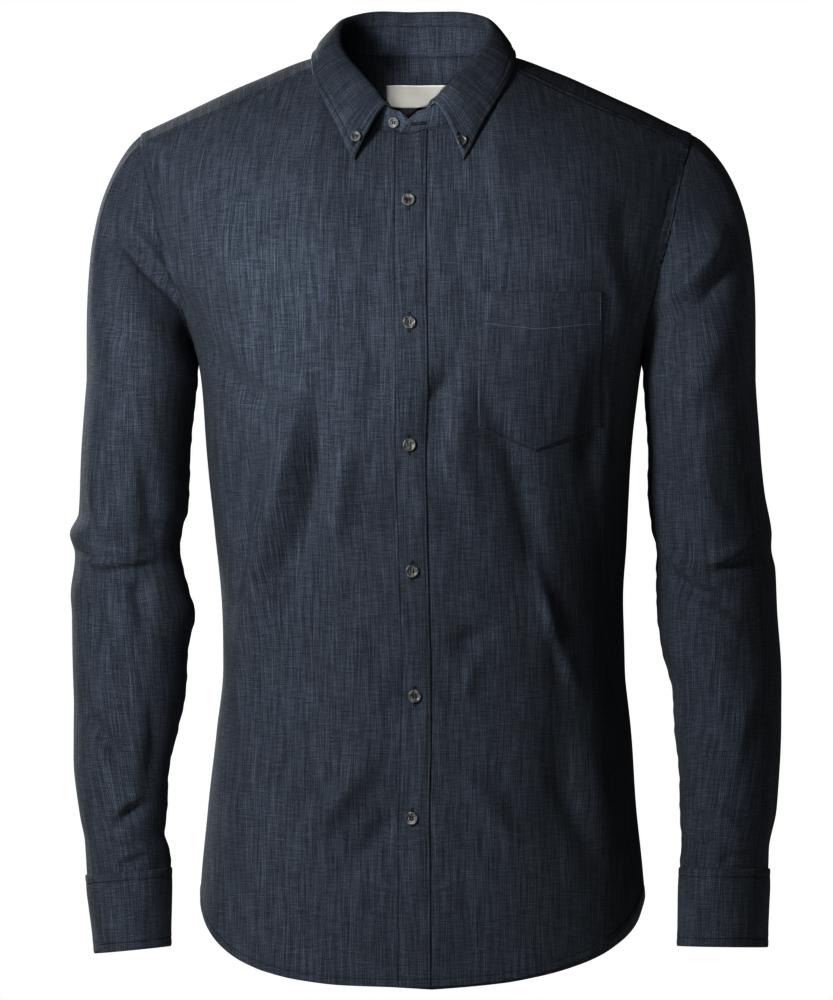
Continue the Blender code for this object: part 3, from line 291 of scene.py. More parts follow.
def smooth(at: Array, keys: Array, values: Array) -> Array:
    """A shape-keeping cubic through the rows (keys, values), level past both ends."""
    at = np.clip(at, keys[0], keys[-1])
    step = np.diff(keys)
    rise = np.diff(values) / step
    slope = np.zeros(len(keys))
    before, after = rise[:-1], rise[1:]
    same_way = before * after > 0
    slope[1:-1][same_way] = (2 * before * after / np.where(same_way, before + after, 1))[same_way]
    slope[0], slope[-1] = rise[0], rise[-1]
    row = np.clip(np.searchsorted(keys, at, side="right") - 1, 0, len(step) - 1)
    return hermite(values[row], slope[row] * step[row], values[row + 1], slope[row + 1] * step[row],
                   (at - keys[row]) / step[row])


def cornered(at: Array, rows: Table, column: str, corners: tuple[float, ...]) -> Array:
    """The named column of an edge table at the given places, smooth between its corners."""
    keys, values = rows["column"], rows[column]
    limits = (keys[0],) + tuple(corners) + (keys[-1],)
    result = np.zeros(np.shape(at))
    for low, high in zip(limits[:-1], limits[1:]):
        inside = (keys >= low - 1e-9) & (keys <= high + 1e-9)
        here = (at >= low - 1e-9) & (at <= high + 1e-9)
        result = np.where(here, smooth(at, keys[inside], values[inside]), result)
    return result


def unit(vectors: Array) -> Array:
    """Vectors scaled to a length of one."""
    return vectors / np.maximum(np.linalg.norm(vectors, axis=-1, keepdims=True), 1e-9)


def level_out(points: Grid) -> Grid:
    """Level directions from the upright axis through the origin to some points."""
    return unit(points * np.array([1.0, 1.0, 0.0]))


def lengths_along(line: Grid) -> Array:
    """Length of a line from its start to each of its points."""
    return np.concatenate([[0], np.cumsum(np.linalg.norm(np.diff(line, axis=0), axis=1))])


def ease(share: Array) -> Array:
    """A soft step from 0 to 1: three times the square less twice the cube."""
    share = np.clip(share, 0, 1)
    return share ** 2 * (3 - 2 * share)


def even(start: float, end: float, step: float) -> Array:
    """Evenly spaced numbers from start to end, about a step apart."""
    return np.linspace(start, end, max(int(round(abs(end - start) / step)), 1) + 1)


def grid_normals(points: Grid, flip: bool = False) -> Grid:
    """Normals of a grid of points: the cross product of its two families of lines."""
    normals = unit(np.cross(np.gradient(points, axis=1), np.gradient(points, axis=0)))
    return -normals if flip else normals


def refined(points: Grid, places: Array, axis: int) -> Grid:
    """A grid read at new places along one axis, by a cubic whose slopes weigh both neighbours.

    Args:
        points: the coarse grid.
        places: shares of the mean length along the axis.
        axis: 0 for rows, 1 for columns.

    Returns:
        The finer grid.
    """
    lines = np.moveaxis(points, axis, 0)
    step = np.linalg.norm(np.diff(lines, axis=0), axis=-1).mean(axis=1)
    keys = np.concatenate([[0], np.cumsum(step)]) / step.sum()
    width = np.diff(keys)[:, None, None]
    rise = np.diff(lines, axis=0) / width
    middle = (rise[:-1] * width[1:] + rise[1:] * width[:-1]) / (width[1:] + width[:-1])
    slope = np.concatenate([rise[:1], middle, rise[-1:]])
    cell = np.clip(np.searchsorted(keys, places, side="right") - 1, 0, len(width) - 1)
    share = ((places - keys[cell]) / width[cell, 0, 0])[:, None, None]
    made = hermite(lines[cell], slope[cell] * width[cell],
                   lines[cell + 1], slope[cell + 1] * width[cell], share)
    return np.moveaxis(made, 0, axis)


def fold_height(x: Array, z: Array, folds: Table) -> Array:
    """Sum of the folds at points of a front view.

    Each fold is a bell along its curve, height times exp(-(distance / half width) squared), that fades
    toward its ends, with the half width of its right side divided by its steepness. Its curve passes
    through its three points, and is followed as eight straight parts.
    """
    total = np.zeros(np.shape(x))
    shares = np.linspace(0, 1, 9)
    for row in range(len(folds["x0"])):
        fold = {name: values[row] for name, values in folds.items()}
        path = np.array([(1 - shares) ** 2 * first + shares ** 2 * last
                         + 2 * shares * (1 - shares) * (2 * middle - (first + last) / 2)
                         for first, middle, last in ([fold[axis + at] for at in "012"] for axis in "xz")])
        reach = FOLD_REACH * fold["half_width"]
        low, high = path.min(axis=1) - reach, path.max(axis=1) + reach
        near = (x > low[0]) & (x < high[0]) & (z > low[1]) & (z < high[1])
        if not near.any():
            continue
        spots = np.stack([x[near], z[near]])
        nearest, place, beside = (np.full(spots.shape[1], value) for value in (1e9, 0.0, 1.0))
        for part, (start, run) in enumerate(zip(path.T, np.diff(path).T)):
            off = spots - start[:, None]
            over = np.clip((off[0] * run[0] + off[1] * run[1]) / (run @ run), 0, 1)
            away = np.hypot(off[0] - over * run[0], off[1] - over * run[1])
            closer = away < nearest
            nearest = np.where(closer, away, nearest)
            place = np.where(closer, (part + over) / (len(shares) - 1), place)
            beside = np.where(closer, run[0] * off[1] - run[1] * off[0], beside)
        half = fold["half_width"] / np.where(beside < 0, fold["steep"], 1.0)
        taper = FOLD_END_SHARE + (1 - FOLD_END_SHARE) * np.sin(np.pi * place)
        total[near] += fold["height"] * taper * np.exp(-(nearest / half) ** 2)
    return total


def waver(place: Array, length: float) -> Array:
    """An uneven ripple: three sines whose lengths don't fit each other, about 1 at most."""
    turn = 2 * np.pi * place / length
    return 0.5 * np.sin(turn) + 0.3 * np.sin(0.62 * turn + 1.3) + 0.2 * np.sin(1.7 * turn + 4.0)


def folded(points: Grid, normals: Grid, creased: float = 1.0) -> Grid:
    """Points moved out along their normals by the folds and creases of the side that they face."""
    x, z = points[..., 0], points[..., 2]
    to_front, to_back = (np.clip(way * normals[..., 1] * 1.4, 0, 1) for way in (-1, 1))
    height = to_front * fold_height(x, z, FRONT_FOLDS) + to_back * fold_height(x, z, BACK_FOLDS)
    if creased:
        height += creased * (ease(to_front) * fold_height(x, z, CREASES_FRONT)
                             + ease(to_back) * fold_height(x, z, CREASES_BACK)
                             + 0.35 * waver(x + 0.3 * z, 61) * waver(z - 0.2 * x, 83))
    return points + normals * np.asarray(height)[..., None]


def level_section(column: Array, z: Array, depth: str) -> tuple[Array, Array]:
    """Half coordinates on a level section of the trunk: a rounded square, a quarter turn to the side."""
    angle = column * math.pi / 2
    across, along = np.sin(angle), np.cos(angle)
    reach = (np.abs(along) ** SQUARENESS + np.abs(across) ** SQUARENESS) ** (-1 / SQUARENESS)
    half_width = smooth(z, BODY["z"], BODY["half_width"])
    return half_width * reach * across, smooth(z, BODY["z"], BODY[depth]) * reach * along


def trunk_point(column: Array, z: Array, depth: str) -> tuple[Array, Array]:
    """Half coordinates (x, distance from the side plane) of a column at a height.

    Below the chest line it is the level section; above, a cubic from it to the panel's upper edge.
    """
    rows, corners = (FRONT_EDGE, FRONT_CORNERS) if depth == "front" else (BACK_EDGE, BACK_CORNERS)
    mirrored = np.sign(column) + (column == 0)
    place = np.abs(column)
    below = np.minimum(z, CHEST_LINE)
    x_low, y_low = level_section(place, below, depth)
    x_under, y_under = level_section(place, below - 1.0, depth)
    edge = {name: cornered(np.minimum(place, 1.0), rows, name, corners) for name in ("x", "y", "z", "lean")}
    out = -1.0 if depth == "front" else 1.0
    rise = np.maximum(edge["z"] - CHEST_LINE, 1.0)
    share = np.clip((z - CHEST_LINE) / rise, 0, 1)
    x_high = hermite(x_low, rise * (x_low - x_under), edge["x"], edge["x"] - x_low, share)
    y_high = hermite(y_low, rise * (y_low - y_under), edge["y"] * out, rise * edge["lean"] * out, share)
    above = z > CHEST_LINE
    return mirrored * np.where(above, x_high, x_low), out * np.where(above, y_high, y_low)


def placed(x: Array, y: Array, z: Array, side: int) -> Grid:
    """Points of the shirt from half coordinates: the side, the sway of the centre, and the slight turn."""
    centre = smooth(z, BODY["z"], BODY["centre"])
    return np.stack([side * x + centre + TURN * y, y, z + np.zeros(np.shape(x))], axis=-1)


def trunk_grid(column: Array, z: Array, side: int, depth: str) -> Grid:
    """Unfolded points of a front or of half of the back."""
    x, y = trunk_point(column, z, depth)
    return placed(x, y, z, side)


def hem_height(column: Array, drop: float = 0.0, lift: float = 0.0) -> Array:
    """Height of the hem at a column; the back drops at its centre, and the left lifts before its side."""
    place = np.minimum(np.abs(column), 1.0)
    height = smooth(place, HEM["column"], HEM["z"])
    return height - drop * (1 - place) ** 2 + lift * np.sin(np.pi * place) ** 2


def cells(grid: Grid) -> Grid:
    """The four corners of each cell of a grid, in order round it."""
    return np.stack([grid[:-1, :-1], grid[:-1, 1:], grid[1:, 1:], grid[1:, :-1]], axis=2)


def numbered(points: Grid) -> Array:
    """The number of each point of a grid, in the order that a mesh takes them."""
    return np.arange(points[..., 0].size).reshape(points.shape[:-1])


class Edge(Enum):
    """An edge of a grid: the axis that it ends, and the order in which that axis runs up to it."""

    FIRST_ROW = (0, -1)
    LAST_ROW = (0, 1)
    FIRST_COLUMN = (1, -1)
    LAST_COLUMN = (1, 1)


@dataclass
class Surface:
    """An open surface on a grid of points.

    flip turns its face the other way, and closed joins its last column to its first. grain is each
    point's place on the flat cloth, where lengths along the rows and columns don't give it.
    """

    points: Grid
    flip: bool = False
    closed: bool = False
    grain: Grid | None = None

    def normals(self) -> Grid:
        """Outward normals at the points."""
        if not self.closed:
            return grid_normals(self.points, self.flip)
        around = np.concatenate([self.points[:, -1:], self.points, self.points[:, :1]], axis=1)
        return grid_normals(around, self.flip)[:, 1:-1]

    def moved(self, height: Array) -> "Surface":
        """The surface moved out along its normals by a height at each point."""
        points = self.points + self.normals() * np.asarray(height)[..., None]
        return Surface(points, self.flip, self.closed, self.grain)

    def tucked(self, edge: Edge, reach: float = 3.0, depth: float = 1.5,
               weight: float | Array = 1.0) -> "Surface":
        """The surface with two rows more past an edge, sunk under the neighbour that laps over it.

        Args:
            edge: which edge goes on.
            reach: how far it goes on.
            depth: how far it sinks.
            weight: share of both at each point of the edge.

        Returns:
            The longer surface.
        """
        axis, order = edge.value
        points, normals = (np.swapaxes(grid, 0, axis)[::order] for grid in (self.points, self.normals()))
        way = unit(points[-1] - points[-2])
        share = np.maximum(np.broadcast_to(weight, way.shape[:1]), 0.08)[:, None]
        added = [points[-1] + (way * reach * run - normals[-1] * depth * sink) * share
                 for run, sink in ((0.35, 0.75), (1.0, 1.0))]
        points = np.swapaxes(np.concatenate([points, added])[::order], 0, axis)
        grain = self.grain
        if grain is not None:
            grain = np.swapaxes(grain, 0, axis)[::order]
            added = [grain[-1] + (grain[-1] - grain[-2]) * run for run in (0.4, 1)]
            grain = np.swapaxes(np.concatenate([grain, added])[::order], 0, axis)
        return Surface(points, self.flip, self.closed, grain)

    def ringed(self, grid: Grid) -> Grid:
        """A grid of the surface's points with its first column again after its last, where it is closed."""
        return np.concatenate([grid, grid[:, :1]], axis=1) if self.closed else grid

    def faces(self) -> Array:
        """The cells by their points' numbers, wound so that they face out."""
        quads = cells(self.ringed(numbered(self.points))).reshape(-1, 4)
        return quads[:, ::-1] if self.flip else quads

    def away_from(self, line: Grid) -> Array:
        """Distance of each point from the nearest point of a line."""
        spots = self.points.reshape(-1, 1, 3)
        parts = [np.sqrt(((spots - part) ** 2).sum(-1).min(-1))
                 for part in np.array_split(line, max(len(line) // 24, 1))]
        return np.min(parts, axis=0).reshape(self.points.shape[:2])

    def places(self) -> Grid:
        """Place of each point on the flat cloth: its grain, or mean lengths across and its column's down."""
        if self.grain is not None:
            return self.grain
        points = self.ringed(self.points)
        across = np.linalg.norm(np.diff(points, axis=1), axis=-1).mean(axis=0)
        along = np.linalg.norm(np.diff(points, axis=0), axis=-1)
        u = np.concatenate([[0], np.cumsum(across)]) + np.zeros((len(points), 1))
        v = np.concatenate([0 * u[:1], np.cumsum(along, axis=0)])
        return np.stack([u, v], axis=-1)

    def piece(self, name: str, finish: Material, wall: float) -> Object:
        """A cloth piece with its wall laid on the inner side, and a UV map of its places in metres."""
        made = mesh_piece(name, self.points.reshape(-1, 3), self.faces().tolist(), finish)
        places = cells(self.places() * MM).reshape(-1, 4, 2)
        if self.flip:
            places = places[:, ::-1]
        made.data.uv_layers.new(name="cloth").data.foreach_set("uv", places.ravel())
        solidify = made.modifiers.new("wall", "SOLIDIFY")
        solidify.thickness = wall * MM
        solidify.offset = -1.0
        return made


def grain_places(calm: Grid, shown: Grid, middle: int, anchor: int | None) -> Grid:
    """Places on the flat cloth that keep its threads straight through folds and bulges.

    On the calm form, threads lie at even level distances from the middle column, and at even lengths
    from the anchor row. A point that a fold has pushed aside takes its place from where it went.

    Args:
        calm: points of the form without folds.
        shown: points of the form as shown.
        middle: the column that lies along the thread.
        anchor: the row that lies along the weft; without one, every level line does.

    Returns:
        Places in millimetres.
    """
    steps = np.diff(calm, axis=1, prepend=calm[:, :1])
    u = np.cumsum(np.hypot(steps[..., 0], steps[..., 1]), axis=1)
    v = calm[..., 2]
    if anchor is not None:
        v = np.cumsum(np.linalg.norm(np.diff(calm, axis=0, prepend=calm[:1]), axis=-1), axis=0)
        v = v - v[anchor] + calm[anchor, :, 2]
    aside = shown - calm
    over = (aside * unit(np.gradient(calm, axis=1))).sum(-1)
    down = (aside * unit(np.gradient(calm, axis=0))).sum(-1)
    return np.stack([u - u[:, middle:middle + 1] + over, v + down], axis=-1)


def in_scene(name: str, data: ID) -> Object:
    """A new object for some data, in the scene."""
    made = bpy.data.objects.new(name, data)
    bpy.context.scene.collection.objects.link(made)
    return made


def mesh_piece(name: str, points: Grid, faces: list[list[int]], finish: Material) -> Object:
    """A smooth mesh from points in millimetres and faces, riding on the shirt's one body."""
    mesh = bpy.data.meshes.new(name)
    mesh.from_pydata((points * MM).tolist(), [], faces)
    mesh.shade_smooth()
    mesh.materials.append(finish)
    made = in_scene(name, mesh)
    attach(made, "root")
    return made


# Surfaces of the panels

# Rows of a panel above its hem's edge; HEM_ROW is the one that the hem's stitches follow
FRONT_ROWS_UP = np.array([0.0, 1.2, 2.6, 4.0, 5.2, 6.2, 7.2, 8.6, 10.4])
HEM_ROW = 5


def edge_lap(columns: Array) -> Array:
    """Share of the lap's lift on a front: all of it at the placket, none past the overlap."""
    return ease((LAP_ENDS_AT - columns) / LAP_FADE)


def front_top(columns: Array) -> Array:
    """Height of a front's upper edge at its columns."""
    return cornered(np.abs(columns), FRONT_EDGE, "z", FRONT_CORNERS)


def panel_heights(low: Array, high: Array, step: float) -> Grid:
    """Heights of a panel's rows: set distances over the hem, then even shares up to its upper edge."""
    count = int(round(float((high - low).max()) / step))
    shares = np.linspace(0, 1, count + 1)[1:, None]
    start = low + FRONT_ROWS_UP[-1]
    return np.concatenate([low + FRONT_ROWS_UP[:, None], start + shares * (high - start)])


def front_surface(side: int, layer: float, step: float) -> Surface:
    """A front; layer lifts its overlapped edge over the other front."""
    part = step / FRONT_WIDTH
    columns = np.concatenate([even(-PLACKET_REACH, PLACKET_REACH, part),
                              even(PLACKET_REACH, FRONT_CORNERS[0], part)[1:],
                              even(*FRONT_CORNERS, part)[1:], even(FRONT_CORNERS[1], SIDE_SEAM, part)[1:]])
    hem = hem_height(columns, lift=HEM_LIFT_LEFT * (side > 0))
    z = panel_heights(hem, front_top(columns) - SEAM_GAP / 2, step)
    calm = trunk_grid(np.broadcast_to(columns, z.shape), z, side, "front")
    flip = side < 0
    points = folded(calm, grid_normals(calm, flip))
    grain = grain_places(calm, points, int(np.argmin(np.abs(columns))), 0)
    return Surface(points, flip, grain=grain).moved(layer * edge_lap(columns) + 0 * z)


def back_surface(step: float) -> Surface:
    """The back, from the wearer's left side seam round to the right."""
    part = step / BACK_WIDTH
    half = np.concatenate([even(0, BACK_CORNERS[0], part), even(BACK_CORNERS[0], SIDE_SEAM, part)[1:]])
    high = cornered(half, BACK_EDGE, "z", BACK_CORNERS) - SEAM_GAP / 2
    sides = []
    for side in (1, -1):
        z = panel_heights(hem_height(half, HEM_DROP_BACK, HEM_LIFT_LEFT * (side > 0)), high, step)
        sides.append(trunk_grid(np.broadcast_to(half, z.shape), z, side, "back"))
    calm = np.concatenate([sides[0][:, ::-1], sides[1][:, 1:]], axis=1)
    points = folded(calm, grid_normals(calm))
    return Surface(points, grain=grain_places(calm, points, len(half) - 1, 0))


def edge_points(place: Array, rows: Table, corners: tuple[float, ...] = ()) -> Grid:
    """Points of an edge table at the given places."""
    return np.stack([cornered(place, rows, name, corners) for name in "xyz"], axis=-1)


def yoke_column(column: Array, share: Array, side: int) -> Grid:
    """Points of the yoke: a cubic from the back seam over the shoulder to the neck or front seam."""
    low_place = column * BACK_CORNERS[0]
    low = edge_points(low_place, BACK_EDGE, BACK_CORNERS)
    lean = cornered(low_place, BACK_EDGE, "lean", BACK_CORNERS)
    start = np.stack([10 * column, 36 * lean, 36 + 0 * column], axis=-1)
    neck = edge_points(np.minimum(column, YOKE_NECK_CORNER), YOKE_NECK)
    past = np.clip((column - YOKE_NECK_CORNER) / (1 - YOKE_NECK_CORNER), 0, 1)
    seam_place = FRONT_CORNERS[0] + past * (FRONT_CORNERS[1] - FRONT_CORNERS[0])
    seam = edge_points(seam_place, FRONT_EDGE, FRONT_CORNERS)
    high = np.where((column > YOKE_NECK_CORNER)[..., None], seam, neck)
    points = bezier(low, low + start, high + edge_points(column, YOKE_ARRIVAL), high, share[..., None])
    return placed(points[..., 0], points[..., 1], points[..., 2], side)


def yoke_grid() -> Grid:
    """The yoke's few main points, evened across their columns, from the wearer's left shoulder round."""
    half = np.concatenate([YOKE_NECK_COLUMNS, np.linspace(YOKE_NECK_CORNER, 1, 9)[1:]])
    trim = SEAM_GAP / 140
    shares = np.linspace(trim, 1 - trim, 8)[:, None] + 0 * half
    columns = np.broadcast_to(half, shares.shape)
    left, right = (yoke_column(columns, shares, side) for side in (1, -1))
    points = np.concatenate([left[:, ::-1], right[:, 1:]], axis=1)
    for _ in range(4):
        points[1:-1, 1:-1] = (points[1:-1, :-2] + 2 * points[1:-1, 1:-1] + points[1:-1, 2:]) / 4
    return points


def neck_grid(yoke: Grid) -> Grid:
    """Main points round the neck, from the right front's edge past the back to the left's."""
    columns = np.concatenate([(-PLACKET_REACH, 0.0, PLACKET_REACH), np.linspace(0.105, 0.27, 4)])
    z = front_top(columns) - SEAM_GAP / 2
    lift = (WALL + LAY_GAP) * edge_lap(columns)
    rows = [z - 3.0, z]
    ends = []
    for side, layer in ((-1, 0.0), (1, 1.0)):
        points = np.stack([trunk_grid(columns, at, side, "front") for at in rows])
        ends.append((points + grid_normals(points, side < 0) * (layer * lift)[:, None])[-1])
    return np.concatenate([ends[0], yoke[-1, 8:-8][::-1][1:-1], ends[1][::-1]])


def shares_along(points: Grid) -> Array:
    """Share of a closed ring's length at each of its points."""
    steps = np.linalg.norm(np.diff(points, axis=0, append=points[:1]), axis=1)
    return np.concatenate([[0], np.cumsum(steps)[:-1]]) / steps.sum()


def sleeve_ring(rows: Table, z: Array, turns: Array, side: int,
                tilt: float | Array = 0.0) -> Grid:
    """Points of level ellipses of a sleeve or cuff; turns run from the body side round the front."""
    angle = 2 * math.pi * turns
    values = {name: smooth(z, rows["z"][::-1], rows[name][::-1]) for name in SECTION.split()[1:]}
    x = values["centre"] - side * values["half_width"] * np.cos(angle)
    y = values["middle"] - values["half_depth"] * np.sin(angle)
    return np.stack([x, y, z - tilt * (1 - np.cos(angle)) / 2], axis=-1)


def calmed(rows: Table) -> Table:
    """Level sections of a sleeve without the folds' bulges: a parabola through each of their sizes."""
    return {name: values if name == "z" else np.polyval(np.polyfit(rows["z"], values, 2), rows["z"])
            for name, values in rows.items()}


def sleeve_form(rows: Table, side: int, tilt: float, hole: Grid, step: float) -> Grid:
    """A sleeve without folds: its cap, a cubic from the armhole to the first level ring, then level rings."""
    turns = shares_along(hole)
    first = float(rows["z"][0])
    ring = sleeve_ring(rows, np.full(len(turns), first), turns, side)
    toward_top = (1 - np.cos(2 * np.pi * turns)) / 2
    dip = np.radians(82 - 50 * toward_top + SLEEVE_TOP_DROP[side] * toward_top ** 4)
    start = np.stack([side * np.cos(dip), 0 * dip, -np.sin(dip)], axis=-1)
    span = np.linalg.norm(ring - hole, axis=1, keepdims=True)
    share = np.linspace(0, 1, int(SLEEVE_CAP_LENGTH / step))[:-1, None, None]
    cap = hermite(hole, start * span, ring, -UP * span, share)
    heights = even(first, float(rows["z"][-1]) - 5.0, step)[:, None]
    slant = np.clip((first - heights) / (first - rows["z"][-1]), 0, 1) * tilt
    level = sleeve_ring(rows, heights + 0 * turns, turns + 0 * heights, side, slant)
    return np.concatenate([cap, level])


def cap_threads(cap: Grid, tube: Grid, across: Array) -> Grid:
    """Places across the cloth on a sleeve's cap, whose threads run on up from the tube below.

    Each takes its place by its bearing from the sleeve's own axis, drawn on upward.

    Args:
        cap: points of the cap.
        tube: points of the level rings below it.
        across: places across the cloth of the tube's first ring.

    Returns:
        Places in millimetres, one for each point of the cap.
    """
    middle = tube.shape[1] // 2
    first, later = tube[0].mean(axis=0), tube[30].mean(axis=0)
    slope = (first - later) / (first - later)[2]
    outer = tube[0, middle] - first

    def bearing(points: Grid) -> Array:
        """Turn from the middle column's side of the axis, in radians."""
        from_axis = points - (first + slope * (points[..., 2:] - first[2]))
        x, y = from_axis[..., 0], from_axis[..., 1]
        return np.arctan2(outer[0] * y - outer[1] * x, outer[0] * x + outer[1] * y)

    ring = np.unwrap(bearing(tube[0]))
    ring = ring - ring[middle]
    order = np.argsort(ring)
    return np.interp(bearing(cap), ring[order], across[order])


def sleeve_surface(rows: Table, side: int, tilt: float, hole: Grid, step: float) -> Surface:
    """A sleeve with its folds, which fade away toward the armhole."""
    points = sleeve_form(rows, side, tilt, hole, step)
    calm = sleeve_form(calmed(rows), side, tilt, hole, step)
    surface = Surface(points, side > 0, closed=True)
    cap_rows = int(SLEEVE_CAP_LENGTH / step) - 1
    fade = ease(np.arange(len(points)) / cap_rows / 0.14)[:, None, None]
    surface.points = points + (folded(points, surface.normals()) - points) * fade
    calm = surface.ringed(calm)
    grain = grain_places(calm, surface.ringed(surface.points), points.shape[1] // 2, None)
    grain[:cap_rows, :, 0] = cap_threads(calm[:cap_rows], calm[cap_rows:], grain[cap_rows, :, 0])
    surface.grain = grain
    return surface


def collar_line(shares: Array, side: int, line: str) -> Grid:
    """Points of the collar's roll line or leaf edge."""
    x, y, z = (smooth(shares, COLLAR["share"], COLLAR[f"{line}_{axis}"]) for axis in "xyz")
    return placed(x, y, z, side)


def both_sides(line: str, shares: Array) -> Grid:
    """A collar line at signed shares: below 0 on the wearer's right, above 0 on the left."""
    right, left = (collar_line(np.abs(shares), side, line) for side in (-1, 1))
    return np.where((shares < 0)[:, None], right, left)


def lap_lift(shares: Array) -> Grid:
    """How far the collar's wearer's-left end is carried outwards, to pass over the right end."""
    reach = np.clip((shares - 0.88) / 0.08, 0, 1) * (TWO_PLY_WALL + LAY_GAP)
    return reach[:, None] * unit(np.array([0, -1, 0.25]))


def stand_grid(edge: Grid) -> Grid:
    """The collar stand's main points, its rounded ends overlapping at the centre front."""
    edge = edge.copy()
    for end, inner in ((0, 1), (-1, -2)):
        edge[end] = edge[inner] + (edge[end] - edge[inner]) * STAND_END_SHARE
    lengths = lengths_along(edge)
    middle = lengths[len(edge) // 2]
    shares = (lengths - middle) / np.where(lengths < middle, middle - lengths[1], lengths[-2] - middle)
    top = both_sides("roll", shares)
    reach = STAND_ROWS[:, None, None]
    base = edge + UP * SEAM_GAP
    points = base + (top - base) * STAND_SHARE * reach
    points = points + level_out(edge) * np.sin(np.pi * reach) * STAND_BOW
    for end, inner in ((0, 1), (-1, -2)):
        points[:, end] += (points[:, inner] - points[:, end]) * STAND_END_ROUNDING[:, None]
    return points + lap_lift(shares)


def push_clear(points: Grid, below: Grid, below_normals: Grid, clearance: float) -> Grid:
    """Points moved out so that each stands at least the clearance over the surface beneath it."""
    nearest = np.argmin(((points[..., None, :] - below) ** 2).sum(-1), axis=-1)
    reach = ((points - below[nearest]) * below_normals[nearest]).sum(-1)
    return points + below_normals[nearest] * np.clip(clearance - reach, 0, None)[..., None]


def body_samples() -> tuple[Grid, Grid]:
    """Dense points and normals of both fronts and the yoke, for what lies on them."""
    columns = np.linspace(-PLACKET_REACH, 0.62, 60)
    shares = np.linspace(0.62, 1, 60)[:, None]
    low = hem_height(columns)
    z = low + shares * (front_top(columns) - low)
    lift = np.where(columns < 0.1, 2 * (WALL + LAY_GAP), 0.0)[None, :, None]
    places = np.linspace(0, 1, 60) + np.zeros((40, 1))
    all_points, all_normals = [], []
    for side in (1, -1):
        points = trunk_grid(np.broadcast_to(columns, z.shape), z, side, "front")
        normals = grid_normals(points, side < 0)
        over = yoke_column(places, np.linspace(0, 1, 40)[:, None] + 0 * places, side)
        all_points += [(folded(points, normals, 0.0) + normals * lift).reshape(-1, 3), over.reshape(-1, 3)]
        all_normals += [normals.reshape(-1, 3), grid_normals(over, flip=side > 0).reshape(-1, 3)]
    return np.concatenate(all_points), np.concatenate(all_normals)


def leaf_grid() -> Grid:
    """The collar leaf's main points: over the roll line, then down to lie on the fronts and yoke."""
    shares = np.concatenate([np.linspace(0, 0.8, 11), np.linspace(0.8, LEAF_ENDS_AT, 5)[1:]])
    signed = np.concatenate([-shares[::-1], shares[1:]])
    roll, edge = both_sides("roll", signed) + lap_lift(signed), both_sides("edge", signed)
    line = unit(np.gradient(roll, axis=0))
    outward = level_out(roll + np.array([5, -5, 0]))
    outward = unit(outward - line * (outward * line).sum(-1, keepdims=True))
    up = unit(UP - line * line[:, 2:])
    lift = TWO_PLY_WALL + LAY_GAP
    start = roll + up * LEAF_RISE
    first = start + outward * (lift + 2.5) + up * 3.0
    second = edge * 0.55 + roll * 0.45 + outward * (lift + 7.0)
    share = np.linspace(0, 1, 8)[:, None, None]
    points = bezier(start, first, second, edge, share)
    cleared = push_clear(points, *body_samples(), TWO_PLY_WALL + LEAF_CLEARANCE)
    return np.where(share > 0.25, cleared, points)


def cuff_surface(rows: Table, side: int, tilt: float, step: float) -> Surface:
    """A cuff: a band wound once round and a little over itself at the back."""
    girth = 250
    turns = even(CUFF_START_TURN, CUFF_START_TURN + 1 + CUFF_OVERLAP_TURNS, step / girth)
    wound = np.clip((turns - CUFF_START_TURN - 0.80) / 0.17, 0, 1)
    lift = CUFF_STEP + (TWO_PLY_WALL + LAY_GAP + 0.4) * ease(wound)
    heights = even(rows["z"][0] - SEAM_GAP, rows["z"][-1], step * 0.5)[:, None]
    points = sleeve_ring(rows, heights + 0 * turns, turns + 0 * heights, side, tilt)
    return Surface(points, side > 0).moved(lift + 0 * heights)


def column_at(x: Array, z: Array, side: int) -> Array:
    """Column of a front that stands at a given x in the front view, found by halving."""
    low, high = np.zeros(np.shape(x)), np.full(np.shape(x), 0.95)
    for _ in range(30):
        middle = (low + high) / 2
        beyond = side * trunk_grid(middle, z, side, "front")[..., 0] > side * x
        low, high = np.where(beyond, low, middle), np.where(beyond, middle, high)
    return (low + high) / 2


def pocket_surface(step: float) -> Surface:
    """The chest pocket on its front: five-sided with a blunt point at its foot, its mouth a little open."""
    across = even(0, 1, step / POCKET_WIDTH)
    down = even(0, 1, step / POCKET_HEIGHT)[:, None]
    x = POCKET["left"] + across * (POCKET["right"] - POCKET["left"]) + 0 * down
    point = 1 - np.abs(across - POCKET_POINT_AT) / np.where(
        across < POCKET_POINT_AT, POCKET_POINT_AT, 1 - POCKET_POINT_AT)
    foot = POCKET["side_bottom"] + (POCKET["point"] - POCKET["side_bottom"]) * point
    z = POCKET["top"] + down * (foot - POCKET["top"])
    points = trunk_grid(column_at(x, z, 1), z, 1, "front")
    mouth = 1.6 * np.sin(np.pi * across) * (1 - down) ** 3
    lift = WALL + POCKET_LAY_GAP - 0.4 + mouth
    height = fold_height(x, z, FRONT_FOLDS) + fold_height(x, z, CREASES_FRONT)
    return Surface(points, flip=True).moved(height + lift)


